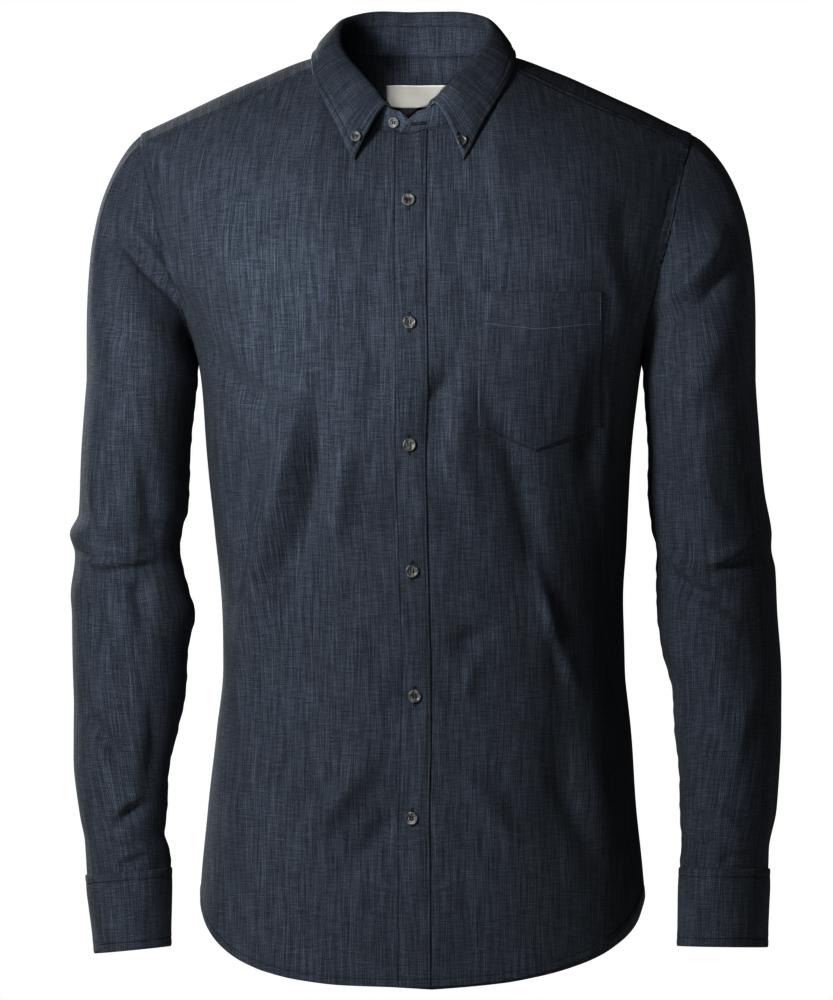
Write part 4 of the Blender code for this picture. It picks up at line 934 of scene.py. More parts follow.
class Ground:
    """A finished surface that small things are laid on."""

    def __init__(self, surface: Surface) -> None:
        """Keep the surface's cells in a tree for nearest points."""
        self.tree = BVHTree.FromPolygons(surface.points.reshape(-1, 3).tolist(), surface.faces().tolist())

    def under(self, spots: Grid) -> tuple[Grid, Grid]:
        """Nearest points of the surface to some spots, and the normals there."""
        found = [self.tree.find_nearest(Vector(spot)) for spot in spots]
        return np.array([hit[0][:] for hit in found]), np.array([hit[1][:] for hit in found])

    def seen_from(self, x: float, z: float, facing: int) -> tuple[Grid, Grid]:
        """The point seen at a place of the front view (facing -1) or from behind (1), and its normal."""
        return self.struck((x, 400.0 * facing, z), -facing)

    def struck(self, start: Place, way: int) -> tuple[Grid, Grid]:
        """The first point on a line from its start forwards (way -1) or backwards (1), and its normal."""
        hit = self.tree.ray_cast(Vector(start), Vector((0, way, 0)))
        return np.array(hit[0][:]), np.array(hit[1][:])


def inside_yoke_surface(yoke: Ground, patch: dict[str, float], step: float) -> Surface:
    """A small piece on the inside of the back yoke, facing forward."""
    inside = -20.0
    points = np.array([[yoke.struck((float(x), inside, float(z)), 1)[0]
                        for x in even(patch["left"], patch["right"], step)]
                       for z in even(patch["top"], patch["bottom"], step)])
    return Surface(points, flip=True).moved(CLOTH + SATIN_CLOTH + LABEL_LAY_GAP + 0 * points[..., 0])


# Stitches, buttonholes and buttons

def read_line(at: Array, keys: Array, line: Grid) -> Grid:
    """Points of a line at the given places, straight between its own points at the keys."""
    return np.stack([np.interp(at, keys, line[:, axis]) for axis in range(3)], axis=-1)


def spaced(line: Grid, pitch: float) -> Grid:
    """Points along a line at an even pitch, by its lengths."""
    lengths = lengths_along(line)
    at = np.arange(pitch / 2, lengths[-1], pitch)
    return read_line(at, lengths, line)


def tube_faces(points: Grid) -> list[list[int]]:
    """Faces of closed tubes by their points (tube, ring, place, xyz), one face over each of their ends."""
    rings = numbered(points)
    around = np.roll(rings, -1, axis=2)
    quads = np.stack([rings[:, :-1], rings[:, 1:], around[:, 1:], around[:, :-1]], axis=-1)
    return quads.reshape(-1, 4).tolist() + rings[:, 0].tolist() + rings[:, -1, ::-1].tolist()


def facing(out: Grid, up: Grid) -> tuple[Grid, Grid]:
    """Directions across and up a small thing that faces out."""
    across = unit(np.cross(up, out))
    return across, np.cross(out, across)


@dataclass
class Stitching:
    """Rows of stitches that share one mesh, each stitch a spindle of thread with a few flat sides."""

    thread: float = 0.5
    pitch: float = 2.9
    gap: float = 0.5
    sides: int = 5
    middles: list[Grid] = field(default_factory=list)
    ways: list[Grid] = field(default_factory=list)
    outs: list[Grid] = field(default_factory=list)

    def add(self, middles: Grid, ways: Grid, outs: Grid) -> None:
        """Add stitches by their middles, half lengths and outward directions."""
        self.middles.append(middles)
        self.ways.append(ways)
        self.outs.append(outs)

    def rows(self, ground: Ground, *lines: Grid) -> None:
        """Rows of running stitches along lines, sunk a little into the cloth."""
        for line in lines:
            spots, outs = ground.under(spaced(line, self.pitch))
            ways = unit(np.gradient(spots, axis=0))
            self.add(spots + outs * self.thread * 0.12, ways * (self.pitch - self.gap) / 2, outs)

    def buttonhole(self, centre: Grid, along: Grid, out: Grid, length: float) -> None:
        """A buttonhole: close stitches across both lips of its slit and a bar at each end."""
        close, lip_middle, lip_half, bar_half = 0.55, 0.85, 0.62, 1.5
        along = unit(along - out * (along @ out))
        across = np.cross(out, along)
        at = np.linspace(-0.5, 0.5, int(length / close))[:, None] * length * along
        for sign in (-1, 1):
            lip = centre + out * 0.1 + at + across * sign * lip_middle
            bar = centre + out * 0.14 + along * sign * (length / 2 + 0.25)
            bars = bar + np.array([[-0.2], [0.2]]) * along
            for spots, half in ((lip, lip_half), (bars, bar_half)):
                self.add(spots, across * half + 0 * spots, out + 0 * spots)

    def piece(self, name: str, finish: Material) -> Object:
        """All the stitches as one mesh: each is four rings of points, narrower at its ends and bowed out."""
        middles, ways, outs = (np.concatenate(part)[:, None, None]
                               for part in (self.middles, self.ways, self.outs))
        across = np.cross(unit(ways), outs)
        shares = np.array([-1.0, -0.62, 0.62, 1.0])[None, :, None, None]
        radii = np.array([0.3, 1.0, 1.0, 0.3])[None, :, None, None] * self.thread / 2
        angle = np.arange(self.sides)[:, None] * 2 * np.pi / self.sides
        bow = (1 - shares ** 2) * self.thread * 0.3
        points = (middles + ways * shares + outs * bow
                  + radii * (np.cos(angle) * across + np.sin(angle) * outs))
        return mesh_piece(name, points.reshape(-1, 3), tube_faces(points), finish)


@dataclass
class Button:
    """A turned four-hole button: a raised rim round a dish, its holes sunk through, sewn on with thread."""

    diameter: float = 11.0
    thickness: float = 2.2
    hole_circle: float = 0.135
    hole: float = 0.062
    rings: int = 30
    around: int = 64

    def profile(self, share: Array) -> Array:
        """Height at a share of the radius: flat dish, raised rim, then rounded down to the edge."""
        keys = np.array([0.0, 0.50, 0.62, 0.76, 0.88, 0.96, 1.0])
        heights = np.array([0.58, 0.58, 0.66, 0.98, 1.0, 0.82, 0.50])
        return smooth(share, keys, heights) * self.thickness

    def hole_places(self) -> Grid:
        """The four holes' places in the button's plane, at the corners of a square."""
        reach = self.hole_circle * self.diameter
        return np.array([(x * reach, y * reach) for x in (-1, 1) for y in (-1, 1)]) / math.sqrt(2) * 1.05

    def grid(self) -> Grid:
        """Points of the face from the middle out, then down the side and back under to the middle."""
        radius = self.diameter / 2
        share = np.concatenate([np.linspace(0.02, 0.5, 18), np.linspace(0.5, 1.0, self.rings - 17)[1:]])
        under = np.array([(0.97, 0.22), (0.86, 0.0), (0.4, 0.0), (0.02, 0.0)])
        angle = np.arange(self.around) * 2 * np.pi / self.around
        rings = np.concatenate([share, under[:, 0]])[:, None] * radius
        x, y = rings * np.cos(angle), rings * np.sin(angle)
        z = np.concatenate([self.profile(share), under[:, 1] * self.thickness])[:, None] + 0 * x
        face = slice(len(share))
        for at in self.hole_places():
            away = np.hypot(x[face] - at[0], y[face] - at[1]) / (self.hole * self.diameter)
            z[face] -= 0.52 * self.thickness * ease((1.25 - away) / 0.5)
        return np.stack([x, y, z], axis=-1)

    def piece(self, name: str, spot: Grid, out: Grid, up: Grid,
              finish: Material) -> Object:
        """The button at a spot, facing out and turned so that its own y goes up."""
        across, up = facing(out, up)
        points = self.grid()
        points = spot + points[..., :1] * across + points[..., 1:2] * up + points[..., 2:] * out
        return mesh_piece(name, points.reshape(-1, 3), tube_faces(points[None]), finish)

    def sew(self, stitching: Stitching, spot: Grid, out: Grid, up: Grid) -> None:
        """Two bars of thread from hole to hole, each of two strands side by side."""
        across, up = facing(out, up)
        reach = abs(self.hole_places()[0, 1])
        for x in (-reach, reach):
            for shift in (-0.16, 0.16):
                middle = spot + out * self.thickness * 0.56 + across * (x + shift)
                stitching.add(middle[None], (up * (reach + 0.25))[None], out[None])


# Finishes

# Scale of a wave texture, read in millimetres, that gives one band in a millimetre
BANDS_PER_MM = 0.314


def linear(shade: str) -> tuple[float, float, float, float]:
    """An sRGB hex colour as linear red, green, blue and alpha."""
    parts = [int(shade[at:at + 2], 16) / 255 for at in (1, 3, 5)]
    return (*(part / 12.92 if part <= 0.04045 else ((part + 0.055) / 1.055) ** 2.4 for part in parts), 1.0)


def feed(tree: NodeTree, node: Node, links: dict[int | str, object]) -> None:
    """Link a node's inputs from sockets, or set them to values, by input name or number."""
    for name, value in links.items():
        if isinstance(value, NodeSocket):
            tree.links.new(value, node.inputs[name])
        else:
            node.inputs[name].default_value = value


def add_node(tree: NodeTree, kind: str, links: dict[int | str, object] | None = None,
             **settings: object) -> Node:
    """A node with its settings, and its inputs linked from sockets or set to values.

    Args:
        tree: the node tree.
        kind: Blender's name of the node.
        links: by input name or number, the socket that feeds it or the value it holds.
        settings: the node's own properties.

    Returns:
        The node.
    """
    node = tree.nodes.new(kind)
    for name, value in settings.items():
        setattr(node, name, value)
    feed(tree, node, links or {})
    return node


def worked_out(tree: NodeTree, operation: str, *values: object) -> NodeSocket:
    """The result of an operation on sockets and numbers."""
    return add_node(tree, "ShaderNodeMath", dict(enumerate(values)), operation=operation).outputs[0]


def colour_ramp(tree: NodeTree, share: NodeSocket,
                stops: dict[float, str]) -> NodeSocket:
    """A colour by a share, from hex colours at their places in rising order."""
    ramp = add_node(tree, "ShaderNodeValToRGB", {"Fac": share})
    elements = ramp.color_ramp.elements
    first, *between, last = stops
    elements[0].position, elements[1].position = first, last
    for place in between:
        elements.new(place)
    for element, shade in zip(elements, stops.values()):
        element.color = linear(shade)
    return ramp.outputs["Color"]


def in_millimetres(tree: NodeTree, places: NodeSocket,
                   turn: Place = (0.0, 0.0, 0.0)) -> NodeSocket:
    """Places in metres, turned and read in millimetres."""
    return add_node(tree, "ShaderNodeMapping", {
        "Vector": places, "Rotation": turn, "Scale": (1 / MM,) * 3}).outputs["Vector"]


def bands(tree: NodeTree, places: NodeSocket, spacing: float, uneven: float, way: str = "X",
          **more: float) -> NodeSocket:
    """Bands a spacing apart over places in millimetres, a little uneven."""
    return add_node(tree, "ShaderNodeTexWave", {
        "Vector": places, "Scale": BANDS_PER_MM / spacing, "Distortion": uneven, **more},
        bands_direction=way).outputs["Fac"]


def banded(tree: NodeTree, share: NodeSocket, shade: str, dark: float) -> NodeSocket:
    """A colour that bands dim to a share of its light."""
    return add_node(tree, "ShaderNodeMixRGB", {
        "Fac": share, "Color1": linear(shade),
        "Color2": (*(part * dark for part in linear(shade)[:3]), 1.0)}).outputs["Color"]


def start_finish(name: str) -> tuple[Material, NodeTree, Node]:
    """A new material, its node tree and its shader."""
    made = bpy.data.materials.new(name)
    made.use_nodes = True
    return made, made.node_tree, made.node_tree.nodes["Principled BSDF"]


@dataclass(frozen=True)
class Chambray:
    """Cotton chambray denim: indigo warp crossed by a pale weft, matt, slubbed both ways.

    The yarns are about 0.3 mm apart, too fine to show, so single slubs are drawn 0.55 mm wide and
    up to 38 mm long, with specks between them and a slow barring of the dyed warp over them.
    """

    deep: str = "#20252B"
    middle: str = "#3E444D"
    pale: str = "#69717D"
    roughness: float = 0.92
    slub_width: float = 0.55
    slub_length: float = 38.0
    yarn: float = 0.62

    def material(self) -> Material:
        """The cloth, its threads read from the piece's own UV map in metres."""
        made, tree, shader = start_finish("cotton_chambray_indigo")
        places = add_node(tree, "ShaderNodeUVMap", uv_map="cloth").outputs["UV"]

        def streaks(wide: float, long: float, upright: bool, seed: float) -> NodeSocket:
            """Noise drawn out along the warp or the weft; its size is one over the slub's, in metres."""
            sizes = (1 / wide, 1 / long) if upright else (1 / long, 1 / wide)
            turned = add_node(tree, "ShaderNodeMapping", {
                "Vector": places, "Location": (seed, seed * 0.7, 0), "Rotation": (0, 0, 0.35),
                "Scale": (sizes[0] / MM, sizes[1] / MM, 1)})
            noise = add_node(tree, "ShaderNodeTexNoise", {
                "Vector": turned.outputs["Vector"], "Scale": 1.0, "Detail": 2.0, "Roughness": 0.6},
                noise_dimensions="2D")
            return noise.outputs["Fac"]

        warp = streaks(self.slub_width, self.slub_length, True, 3.1)
        weft = streaks(self.slub_width, self.slub_length * 0.5, False, 7.7)
        speck = streaks(0.6, 0.8, True, 1.3)
        cloud = streaks(4.5, 160, True, 5.2)
        slubs = worked_out(tree, "MULTIPLY_ADD", weft, 0.6, warp)
        specked = worked_out(tree, "MULTIPLY_ADD", speck, 1.15, slubs)
        barred = worked_out(tree, "MULTIPLY_ADD", cloud, 0.2, specked)
        shade = add_node(tree, "ShaderNodeMapRange", {
            "Value": barred, "From Min": 1.07, "From Max": 1.86, "To Min": 0.0, "To Max": 1.0}).outputs[0]
        threads = in_millimetres(tree, places)
        waves = [bands(tree, threads, self.yarn, 0.6, way, **{"Detail": 1.0, "Detail Scale": 0.4})
                 for way in "XY"]
        relief = worked_out(tree, "MULTIPLY_ADD", worked_out(tree, "ADD", *waves), 0.35, slubs)
        bump = add_node(tree, "ShaderNodeBump", {"Strength": 0.5, "Distance": 0.0004, "Height": relief})
        feed(tree, shader, {
            "Base Color": colour_ramp(tree, shade, {0.0: self.deep, 0.5: self.middle, 1.0: self.pale}),
            "Normal": bump.outputs["Normal"], "Roughness": self.roughness, "Specular IOR Level": 0.25,
            "Sheen Weight": 0.04, "Sheen Roughness": 0.5})
        return made


@dataclass(frozen=True)
class Horn:
    """Grey horn, turned and tumbled: smoky streaks that run through it, a soft gloss."""

    dark: str = "#2C2D2F"
    light: str = "#858583"
    roughness: float = 0.32
    streak: float = 2.6

    def material(self) -> Material:
        """The horn, its streaks drawn out across each button on Object coordinates."""
        made, tree, shader = start_finish("turned_grey_horn")
        places = add_node(tree, "ShaderNodeTexCoord").outputs["Object"]
        scaled = add_node(tree, "ShaderNodeMapping", {
            "Vector": places, "Rotation": (0.0, 0.5, 0.3),
            "Scale": (1 / self.streak / MM, 0.3 / self.streak / MM, 0.45 / self.streak / MM)})
        noise = add_node(tree, "ShaderNodeTexNoise", {
            "Vector": scaled.outputs["Vector"], "Scale": 1.0, "Detail": 4.0, "Distortion": 0.8})
        shade = colour_ramp(tree, noise.outputs["Fac"], {0.32: self.dark, 0.68: self.light})
        feed(tree, shader, {"Base Color": shade, "Roughness": self.roughness, "IOR": 1.54})
        return made


@dataclass(frozen=True)
class WovenTape:
    """A narrow tape with fine level ribs: satin for the label, petersham ribbon for the tab."""

    name: str
    shade: str
    roughness: float
    rib: float
    sheen: float

    def material(self) -> Material:
        """The tape, its ribs read from the piece's own UV map in metres."""
        made, tree, shader = start_finish(self.name)
        places = add_node(tree, "ShaderNodeUVMap", uv_map="cloth").outputs["UV"]
        ribs = bands(tree, in_millimetres(tree, places), self.rib, 0.4, "Y")
        bump = add_node(tree, "ShaderNodeBump", {"Strength": 0.4, "Distance": 0.0002, "Height": ribs})
        feed(tree, shader, {
            "Base Color": banded(tree, ribs, self.shade, 0.82), "Normal": bump.outputs["Normal"],
            "Roughness": self.roughness, "Sheen Weight": self.sheen})
        return made


@dataclass(frozen=True)
class Thread:
    """Spun polyester sewing thread: two plies twisted together, a faint gloss."""

    name: str
    shade: str
    twist: float = 0.7

    def material(self) -> Material:
        """The thread, its twist drawn by slanting bands on Object coordinates."""
        made, tree, shader = start_finish(self.name)
        places = add_node(tree, "ShaderNodeTexCoord").outputs["Object"]
        plies = bands(tree, in_millimetres(tree, places, (0.4, 0.7, 0.2)), self.twist, 0.3)
        feed(tree, shader, {"Base Color": banded(tree, plies, self.shade, 0.7), "Roughness": 0.6})
        return made


# The shirt's parts

class Finishes:
    """The finished materials that the parts share."""

    def __init__(self) -> None:
        """Make each material once."""
        self.cloth = Chambray().material()
        self.horn = Horn().material()
        self.satin = WovenTape("woven_white_satin", "#C9C8C3", 0.38, 0.5, 0.2).material()
        self.ribbon = WovenTape("woven_maroon_ribbon", "#5E2A2A", 0.7, 0.6, 0.1).material()
        self.thread, self.pale_thread, self.dark_thread = (
            Thread(f"{name}_thread", shade).material()
            for name, shade in (("navy", "#171D27"), ("pale", "#7B8494"), ("black", "#15181D")))


class Slot(Enum):
    """The record's material slots."""

    DENIM = "denim"
    HORN = "horn_buttons"
    SATIN = "label_satin"
    RIBBON = "tab_ribbon"


def cloth_piece(surface: Surface, name: str, finish: Material, wall: float = CLOTH,
                node: str | None = None) -> Object:
    """A sheet of cloth that stands for its solid, which is hidden.

    Args:
        surface: the outer face.
        name: the piece's name.
        finish: its material.
        wall: its thickness.
        node: the solid that it stands for, if its name isn't the piece's.

    Returns:
        The piece.
    """
    made = surface.piece(name, finish, wall)
    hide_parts(node or name.removesuffix("_cloth"))
    return made


def stitch_piece(stitching: Stitching, name: str, finish: Material) -> None:
    """The stitches of one part as a piece."""
    made = stitching.piece(name, finish)
    log.info("%s: %d stitches", name, sum(len(part) for part in stitching.middles))


def buttonhole_piece(name: str, spot: Grid, out: Grid, along: Grid, length: float,
                     finishes: Finishes) -> None:
    """A buttonhole at a spot of the cloth as a piece."""
    hole = Stitching()
    hole.buttonhole(spot + out * 0.05, along, out, length)
    stitch_piece(hole, name, finishes.thread)


def groove(away: Array, at: float, depth: float = 0.35, width: float = 1.0) -> Array:
    """How a row of stitches draws the cloth in: a narrow bell at a distance from an edge, below 0."""
    return -depth * np.exp(-((away - at) / width) ** 2)


def pucker(along: Array, away: Array, height: float, length: float, reach: float) -> Array:
    """Small uneven ripples along a seam that fade away from it."""
    return height * waver(along, length) * np.exp(-(away / reach) ** 2)


def turned_under(away: Array, depth: float, width: float) -> Array:
    """How a piece rounds down at its edge: below 0 within a width of it."""
    return -depth * ease((width - away) / width)


@dataclass
class Trunk:
    """Both fronts, the placket, the back, the yoke and the pocket."""

    finishes: Finishes
    step: float = 2.8
    hem: float = 6.2
    armhole_stitch: float = 7.0

    def __post_init__(self) -> None:
        """Work out the surfaces that the sleeves and the collar start from."""
        self.main_yoke = yoke_grid()
        rows, columns = (even(0, 1, self.step / length) for length in (YOKE_LENGTH, YOKE_WIDTH))
        yoke = refined(refined(self.main_yoke, columns, 1), rows, 0)
        self.yoke = Surface(yoke)
        self.left = front_surface(1, WALL + LAY_GAP, self.step)
        self.right = front_surface(-1, 0.0, self.step)
        self.back = back_surface(self.step)
        self.front_hole = len(even(FRONT_CORNERS[1], 1, self.step / FRONT_WIDTH))
        self.back_hole = len(even(BACK_CORNERS[0], 1, self.step / BACK_WIDTH))

    def armhole(self, side: int) -> Grid:
        """Edges round an armhole, from the underarm up its front and down its back."""
        front = self.left if side > 0 else self.right
        back = self.back.points[-1]
        over = self.yoke.points[1:-1, 0 if side > 0 else -1][::-1]
        behind = back[:self.back_hole][::-1] if side > 0 else back[-self.back_hole:]
        return np.concatenate([front.points[-1, -self.front_hole:][::-1], over, behind[:-1]])

    def finished_panel(self, surface: Surface, holes: list[Grid]) -> Surface:
        """A panel with its rolled hem, the stitches' grooves and the ripples along its seams."""
        points = surface.points
        up = points[..., 2] - points[:1, :, 2]
        along = points[..., 0] + 0.5 * points[..., 1]
        height = 0.4 * ease((self.hem + 0.5 - up) / 0.9) + groove(up, self.hem, 0.3)
        height = height + pucker(along, up, 0.55, 17, 13)
        for hole in holes:
            away = surface.away_from(hole)
            height = height + self.seam_ridge(away)
            height = height + groove(away, self.armhole_stitch, 0.55, 1.2)
            height = height + pucker(points[..., 2] * 1.2 + points[..., 1], away, 0.6, 13, 12)
        return surface.moved(height)

    def seam_ridge(self, away: Array) -> Array:
        """The low ridge that an armhole's seam allowance makes as far as its stitches."""
        return 0.25 * ease((self.armhole_stitch + 1 - away) / 1.5)

    def build(self) -> None:
        """Make the pieces and their stitches."""
        stitching = Stitching()
        holes = {side: self.armhole(side) for side in (1, -1)}
        self.build_front("left", self.left, 1, holes, stitching)
        self.build_front("right", self.right, -1, holes, stitching)
        self.build_back(stitching)
        self.build_yoke(stitching)
        stitch_piece(stitching, "body_stitching", self.finishes.thread)
        self.build_placket()
        self.build_pocket()

    def inside(self, edge: Grid, side: int, lean: float) -> Grid:
        """A line at the armhole's stitching distance inside its edge; lean is how far it also goes back."""
        return edge + unit(np.array([-side, lean, 0])) * self.armhole_stitch

    def build_front(self, name: str, surface: Surface, side: int, holes: dict[int, Grid],
                    stitching: Stitching) -> None:
        """One front: its upper edge goes under the collar and the yoke, and laps over the sleeve."""
        hole = holes[side][:self.front_hole]
        done = self.finished_panel(surface, [hole])
        if side > 0:
            self.left = done
        inner = len(done.points[0]) - self.front_hole
        weight = np.clip((inner + 2 - np.arange(done.points.shape[1])) / 2, 0, 1)
        cloth_piece(done.tucked(Edge.LAST_ROW, weight=weight), f"front_{name}_cloth",
                    self.finishes.cloth)
        ground = Ground(done)
        stitching.rows(ground, done.points[HEM_ROW, 1:],
                       self.inside(done.points[-1, -self.front_hole:][2:-4], side, -0.25))

    def build_back(self, stitching: Stitching) -> None:
        """The back: under the yoke above and under the fronts at both sides."""
        edges = [self.back.points[-1, :self.back_hole], self.back.points[-1, -self.back_hole:]]
        done = self.finished_panel(self.back, edges)
        columns = np.arange(done.points.shape[1])
        inner = np.minimum(columns, columns[::-1]) - self.back_hole
        weight = np.clip((inner + 2) / 2, 0, 1)
        shown = done.tucked(Edge.LAST_ROW, weight=weight).tucked(Edge.FIRST_COLUMN).tucked(Edge.LAST_COLUMN)
        cloth_piece(shown, "back_panel_cloth", self.finishes.cloth)
        stitching.rows(Ground(done), done.points[HEM_ROW, 1:-1],
                       *(self.inside(edge[4:-4], side, 0.3) for side, edge in zip((1, -1), edges)))

    def build_yoke(self, stitching: Stitching) -> None:
        """The yoke: over the back and the fronts, under the collar, over the sleeves' heads."""
        points = self.yoke.points
        columns = points.shape[1]
        away_front, away_back, away_left, away_right = (
            self.yoke.away_from(line) for line in (points[-1], points[0], points[:, 0], points[:, -1]))
        away_side = np.minimum(away_left, away_right)
        height = (groove(away_front, 2.4, 0.25) + groove(away_back, 2.4, 0.25)
                  + groove(away_side, self.armhole_stitch, 0.35, 1.3) + self.seam_ridge(away_side)
                  + pucker(points[..., 0], np.minimum(away_back, away_front), 0.4, 15, 9)
                  + 0.3 * waver(points[..., 0] + 0.4 * points[..., 1], 57))
        done = self.yoke.moved(height)
        under_collar = 0.46
        weight = np.clip((under_collar - np.abs(np.linspace(-1, 1, columns))) / 0.02, 0, 1)
        cloth_piece(done.tucked(Edge.LAST_ROW, weight=weight), "back_yoke_cloth", self.finishes.cloth)
        shoulder = int(columns * 0.29)
        points = done.points
        stitching.rows(Ground(done), points[1, 2:-2], points[-2, 2:shoulder], points[-2, -shoulder:-2],
                       points[2:-2, 3], points[2:-2, -4])

    def build_placket(self) -> None:
        """The front placket over the left front's edge, its buttonholes and their stitches."""
        under = self.left
        across = even(-PLACKET_REACH, 1, self.step / FRONT_WIDTH)
        count = int(np.argmin(np.abs(across - PLACKET_REACH))) + 1
        points = under.points[:, :count] + under.normals()[:, :count] * (CLOTH + LAY_GAP + 0.1)
        wide = float(np.linalg.norm(np.diff(points, axis=1), axis=-1).sum(axis=1).mean())
        stitch_in = 2.5
        half = np.array([0.0, 0.5, 1.1, 1.8, stitch_in, 3.1, 3.8, 4.8, 6.4, 8.4, 10.8]) / wide
        places = np.concatenate([half, [0.5], 1 - half[::-1]])
        surface = Surface(refined(points, places, 1))
        away = np.minimum(places, 1 - places) * wide + 0 * surface.points[..., 0]
        z = surface.points[..., 2]
        height = (groove(away, 2.8, 0.45, 0.8) + groove(away, 0.0, 0.25, 0.5)
                  + pucker(z, away - 2, 0.3, 12, 5))
        for at in FRONT_BUTTON_HEIGHTS:
            height = height - 0.5 * np.exp(-((z - at) / 9) ** 2 - ((places - 0.5) * wide / 7) ** 2)
        self.placket = surface.moved(height)
        cloth_piece(self.placket, "front_placket_cloth", self.finishes.cloth)
        stitching = Stitching()
        edge = int(np.argmin(np.abs(half * wide - stitch_in)))
        points = self.placket.points
        stitching.rows(Ground(self.placket), points[1:, edge], points[1:, -1 - edge], points[HEM_ROW])
        stitch_piece(stitching, "placket_stitching", self.finishes.thread)

    def build_pocket(self) -> None:
        """The chest pocket: its hem across the mouth, stitched down its sides and foot."""
        surface = pocket_surface(1.8)
        points = surface.points
        left, right, foot = points[:, 0], points[:, -1], points[-1]
        away = np.min([surface.away_from(line) for line in (left, right, foot)], axis=0)
        down = points[:1, :, 2] - points[..., 2]
        stitch_in = 2.0
        height = (groove(away, stitch_in, 0.45, 0.8) + groove(down, POCKET_HEM, 0.5, 0.9)
                  + turned_under(away, 1.1, 1.6) + 0.3 * ease((POCKET_HEM + 0.6 - down) / 1.2))
        done = surface.moved(height)
        cloth_piece(done, "chest_pocket_cloth", self.finishes.cloth)
        ground = Ground(done)
        stitching, hem = Stitching(), Stitching(thread=0.45)
        side = np.array([stitch_in, 0, 0])
        stitching.rows(ground, left[1:] + side, right[1:] - side, foot + UP * stitch_in * 1.1)
        row = int(np.argmin(np.abs(down[:, 5] - POCKET_HEM)))
        hem.rows(ground, points[row, 2:-2], left[:row] + side * 3.6, right[:row] - side * 3.2)
        stitch_piece(stitching, "pocket_stitching", self.finishes.thread)
        stitch_piece(hem, "pocket_hem_stitching", self.finishes.pale_thread)


@dataclass
class Sleeve:
    """One sleeve with its placket, its cuff and the cuff's button."""

    name: str
    side: int
    rows: Table
    cuff_rows: Table
    finishes: Finishes
    step: float = 2.8

    def build(self, hole: Grid) -> None:
        """Make the sleeve from its armhole down."""
        tilt = CUFF_TILT[self.name]
        surface = sleeve_surface(self.rows, self.side, tilt, hole, self.step)
        points = surface.points
        from_seam = np.arange(len(points))[:, None] * self.step + 0 * points[..., 0]
        from_cuff = points[..., 2] - (self.rows["z"][-1] - tilt / 2)
        turn = np.arange(points.shape[1]) / points.shape[1] + 0 * points[..., 0]
        from_under = np.minimum(turn, 1 - turn) * SLEEVE_GIRTH
        seam_girth, cuff_girth = 460, 240
        height = (groove(from_seam, 0, 1.1, 3.0) + pucker(turn * seam_girth, from_seam - 3, 0.7, 14, 12)
                  + pucker(turn * cuff_girth, from_cuff, 0.9, 19, 15)
                  + pucker(points[..., 2], from_under, 0.5, 15, 7) + groove(from_under, 0, 0.45, 1.6))
        done = surface.moved(height * ease(from_seam / 4 + 0.6))
        cloth_piece(done.tucked(Edge.FIRST_ROW, 4.0, 1.2), f"sleeve_{self.name}_cloth",
                    self.finishes.cloth)
        stitching = Stitching()
        self.build_placket(done, stitching)
        self.build_cuff(tilt, stitching)
        stitch_piece(stitching, f"sleeve_{self.name}_stitching", self.finishes.thread)

    def build_placket(self, sleeve: Surface, stitching: Stitching) -> None:
        """The sleeve's placket, a strip over it above the cuff's lap."""
        columns = sleeve.points.shape[1]
        first = int(round(SLEEVE_PLACKET_TURN * columns))
        last = first + int(round(SLEEVE_PLACKET_TURNS * columns)) + 1
        start = int(np.argmin(np.abs(sleeve.points[:, first, 2] - SLEEVE_PLACKET_TOP)))
        points = (sleeve.points + sleeve.normals() * (CLOTH + LAY_GAP + 0.2))[start:, first:last]
        surface = Surface(points, sleeve.flip)
        cloth_piece(surface, f"sleeve_placket_{self.name}_cloth", self.finishes.cloth)
        stitching.rows(Ground(surface), points[:, 1], points[:, -2], points[1, 1:-1])

    def build_cuff(self, tilt: float, stitching: Stitching) -> None:
        """The cuff, stitched all round, its buttonhole and its button."""
        surface = cuff_surface(self.cuff_rows, self.side, tilt, self.step)
        points = surface.points
        rows, columns = points.shape[:2]
        down = np.linalg.norm(points - points[:1], axis=-1)
        high = down[-1]
        along = np.arange(columns) * self.step
        ends = np.minimum(along, along[::-1]) + 0 * down
        edge = np.minimum(np.minimum(down, high - down), ends)
        height = (groove(edge, CUFF_STITCH, 0.35, 1.1) + turned_under(edge, 0.5, 1.3)
                  + pucker(along + 0 * down, edge - 5, 0.35, 16, 8)
                  + 0.6 * waver(along + 0.5 * down, 67) * ease((edge - 3) / 14))
        done = surface.moved(height)
        cloth_piece(done, f"cuff_{self.name}_cloth", self.finishes.cloth, TWO_PLY_CLOTH)
        ground = Ground(done)
        inner = int(CUFF_STITCH / high.mean() * rows)
        stitching.rows(ground, points[inner, 3:-3], points[rows - 1 - inner, 3:-3],
                       points[3:-3, 2], points[3:-3, -3])
        column = int(round(CUFF_BUTTON_SHARE * (columns - 1)))
        (spot,), (out,) = ground.under(points[rows // 2, column][None])
        sew_button(f"cuff_button_{self.name}", Button(), spot, out, UP, self.finishes,
                   self.side * np.cross(out, UP))


def sew_button(name: str, button: Button, spot: Grid, out: Grid, up: Grid, finishes: Finishes,
               hole_along: Grid | None) -> None:
    """A button sewn on at a spot, with the thread in its holes and its buttonhole.

    Args:
        name: the piece's and the solid's name.
        button: its sizes.
        spot: the cloth under its middle.
        out: the direction that it faces.
        up: its own upright.
        finishes: the finished materials.
        hole_along: which way the buttonhole runs, or None where it doesn't show.
    """
    seat_height, past_button = 0.45, 4.5
    seat = spot + out * seat_height
    made = button.piece(f"{name}_horn", seat, out, up, finishes.horn)
    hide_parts(name)
    sewing = Stitching(thread=0.42)
    button.sew(sewing, seat, out, up)
    if hole_along is not None:
        buttonhole_piece(f"{name}_hole_stitching", spot, out, hole_along, button.diameter + past_button,
                         finishes)
    stitch_piece(sewing, f"{name}_sewing", finishes.dark_thread)
    log.info("%s: %.0f mm button", name, button.diameter)


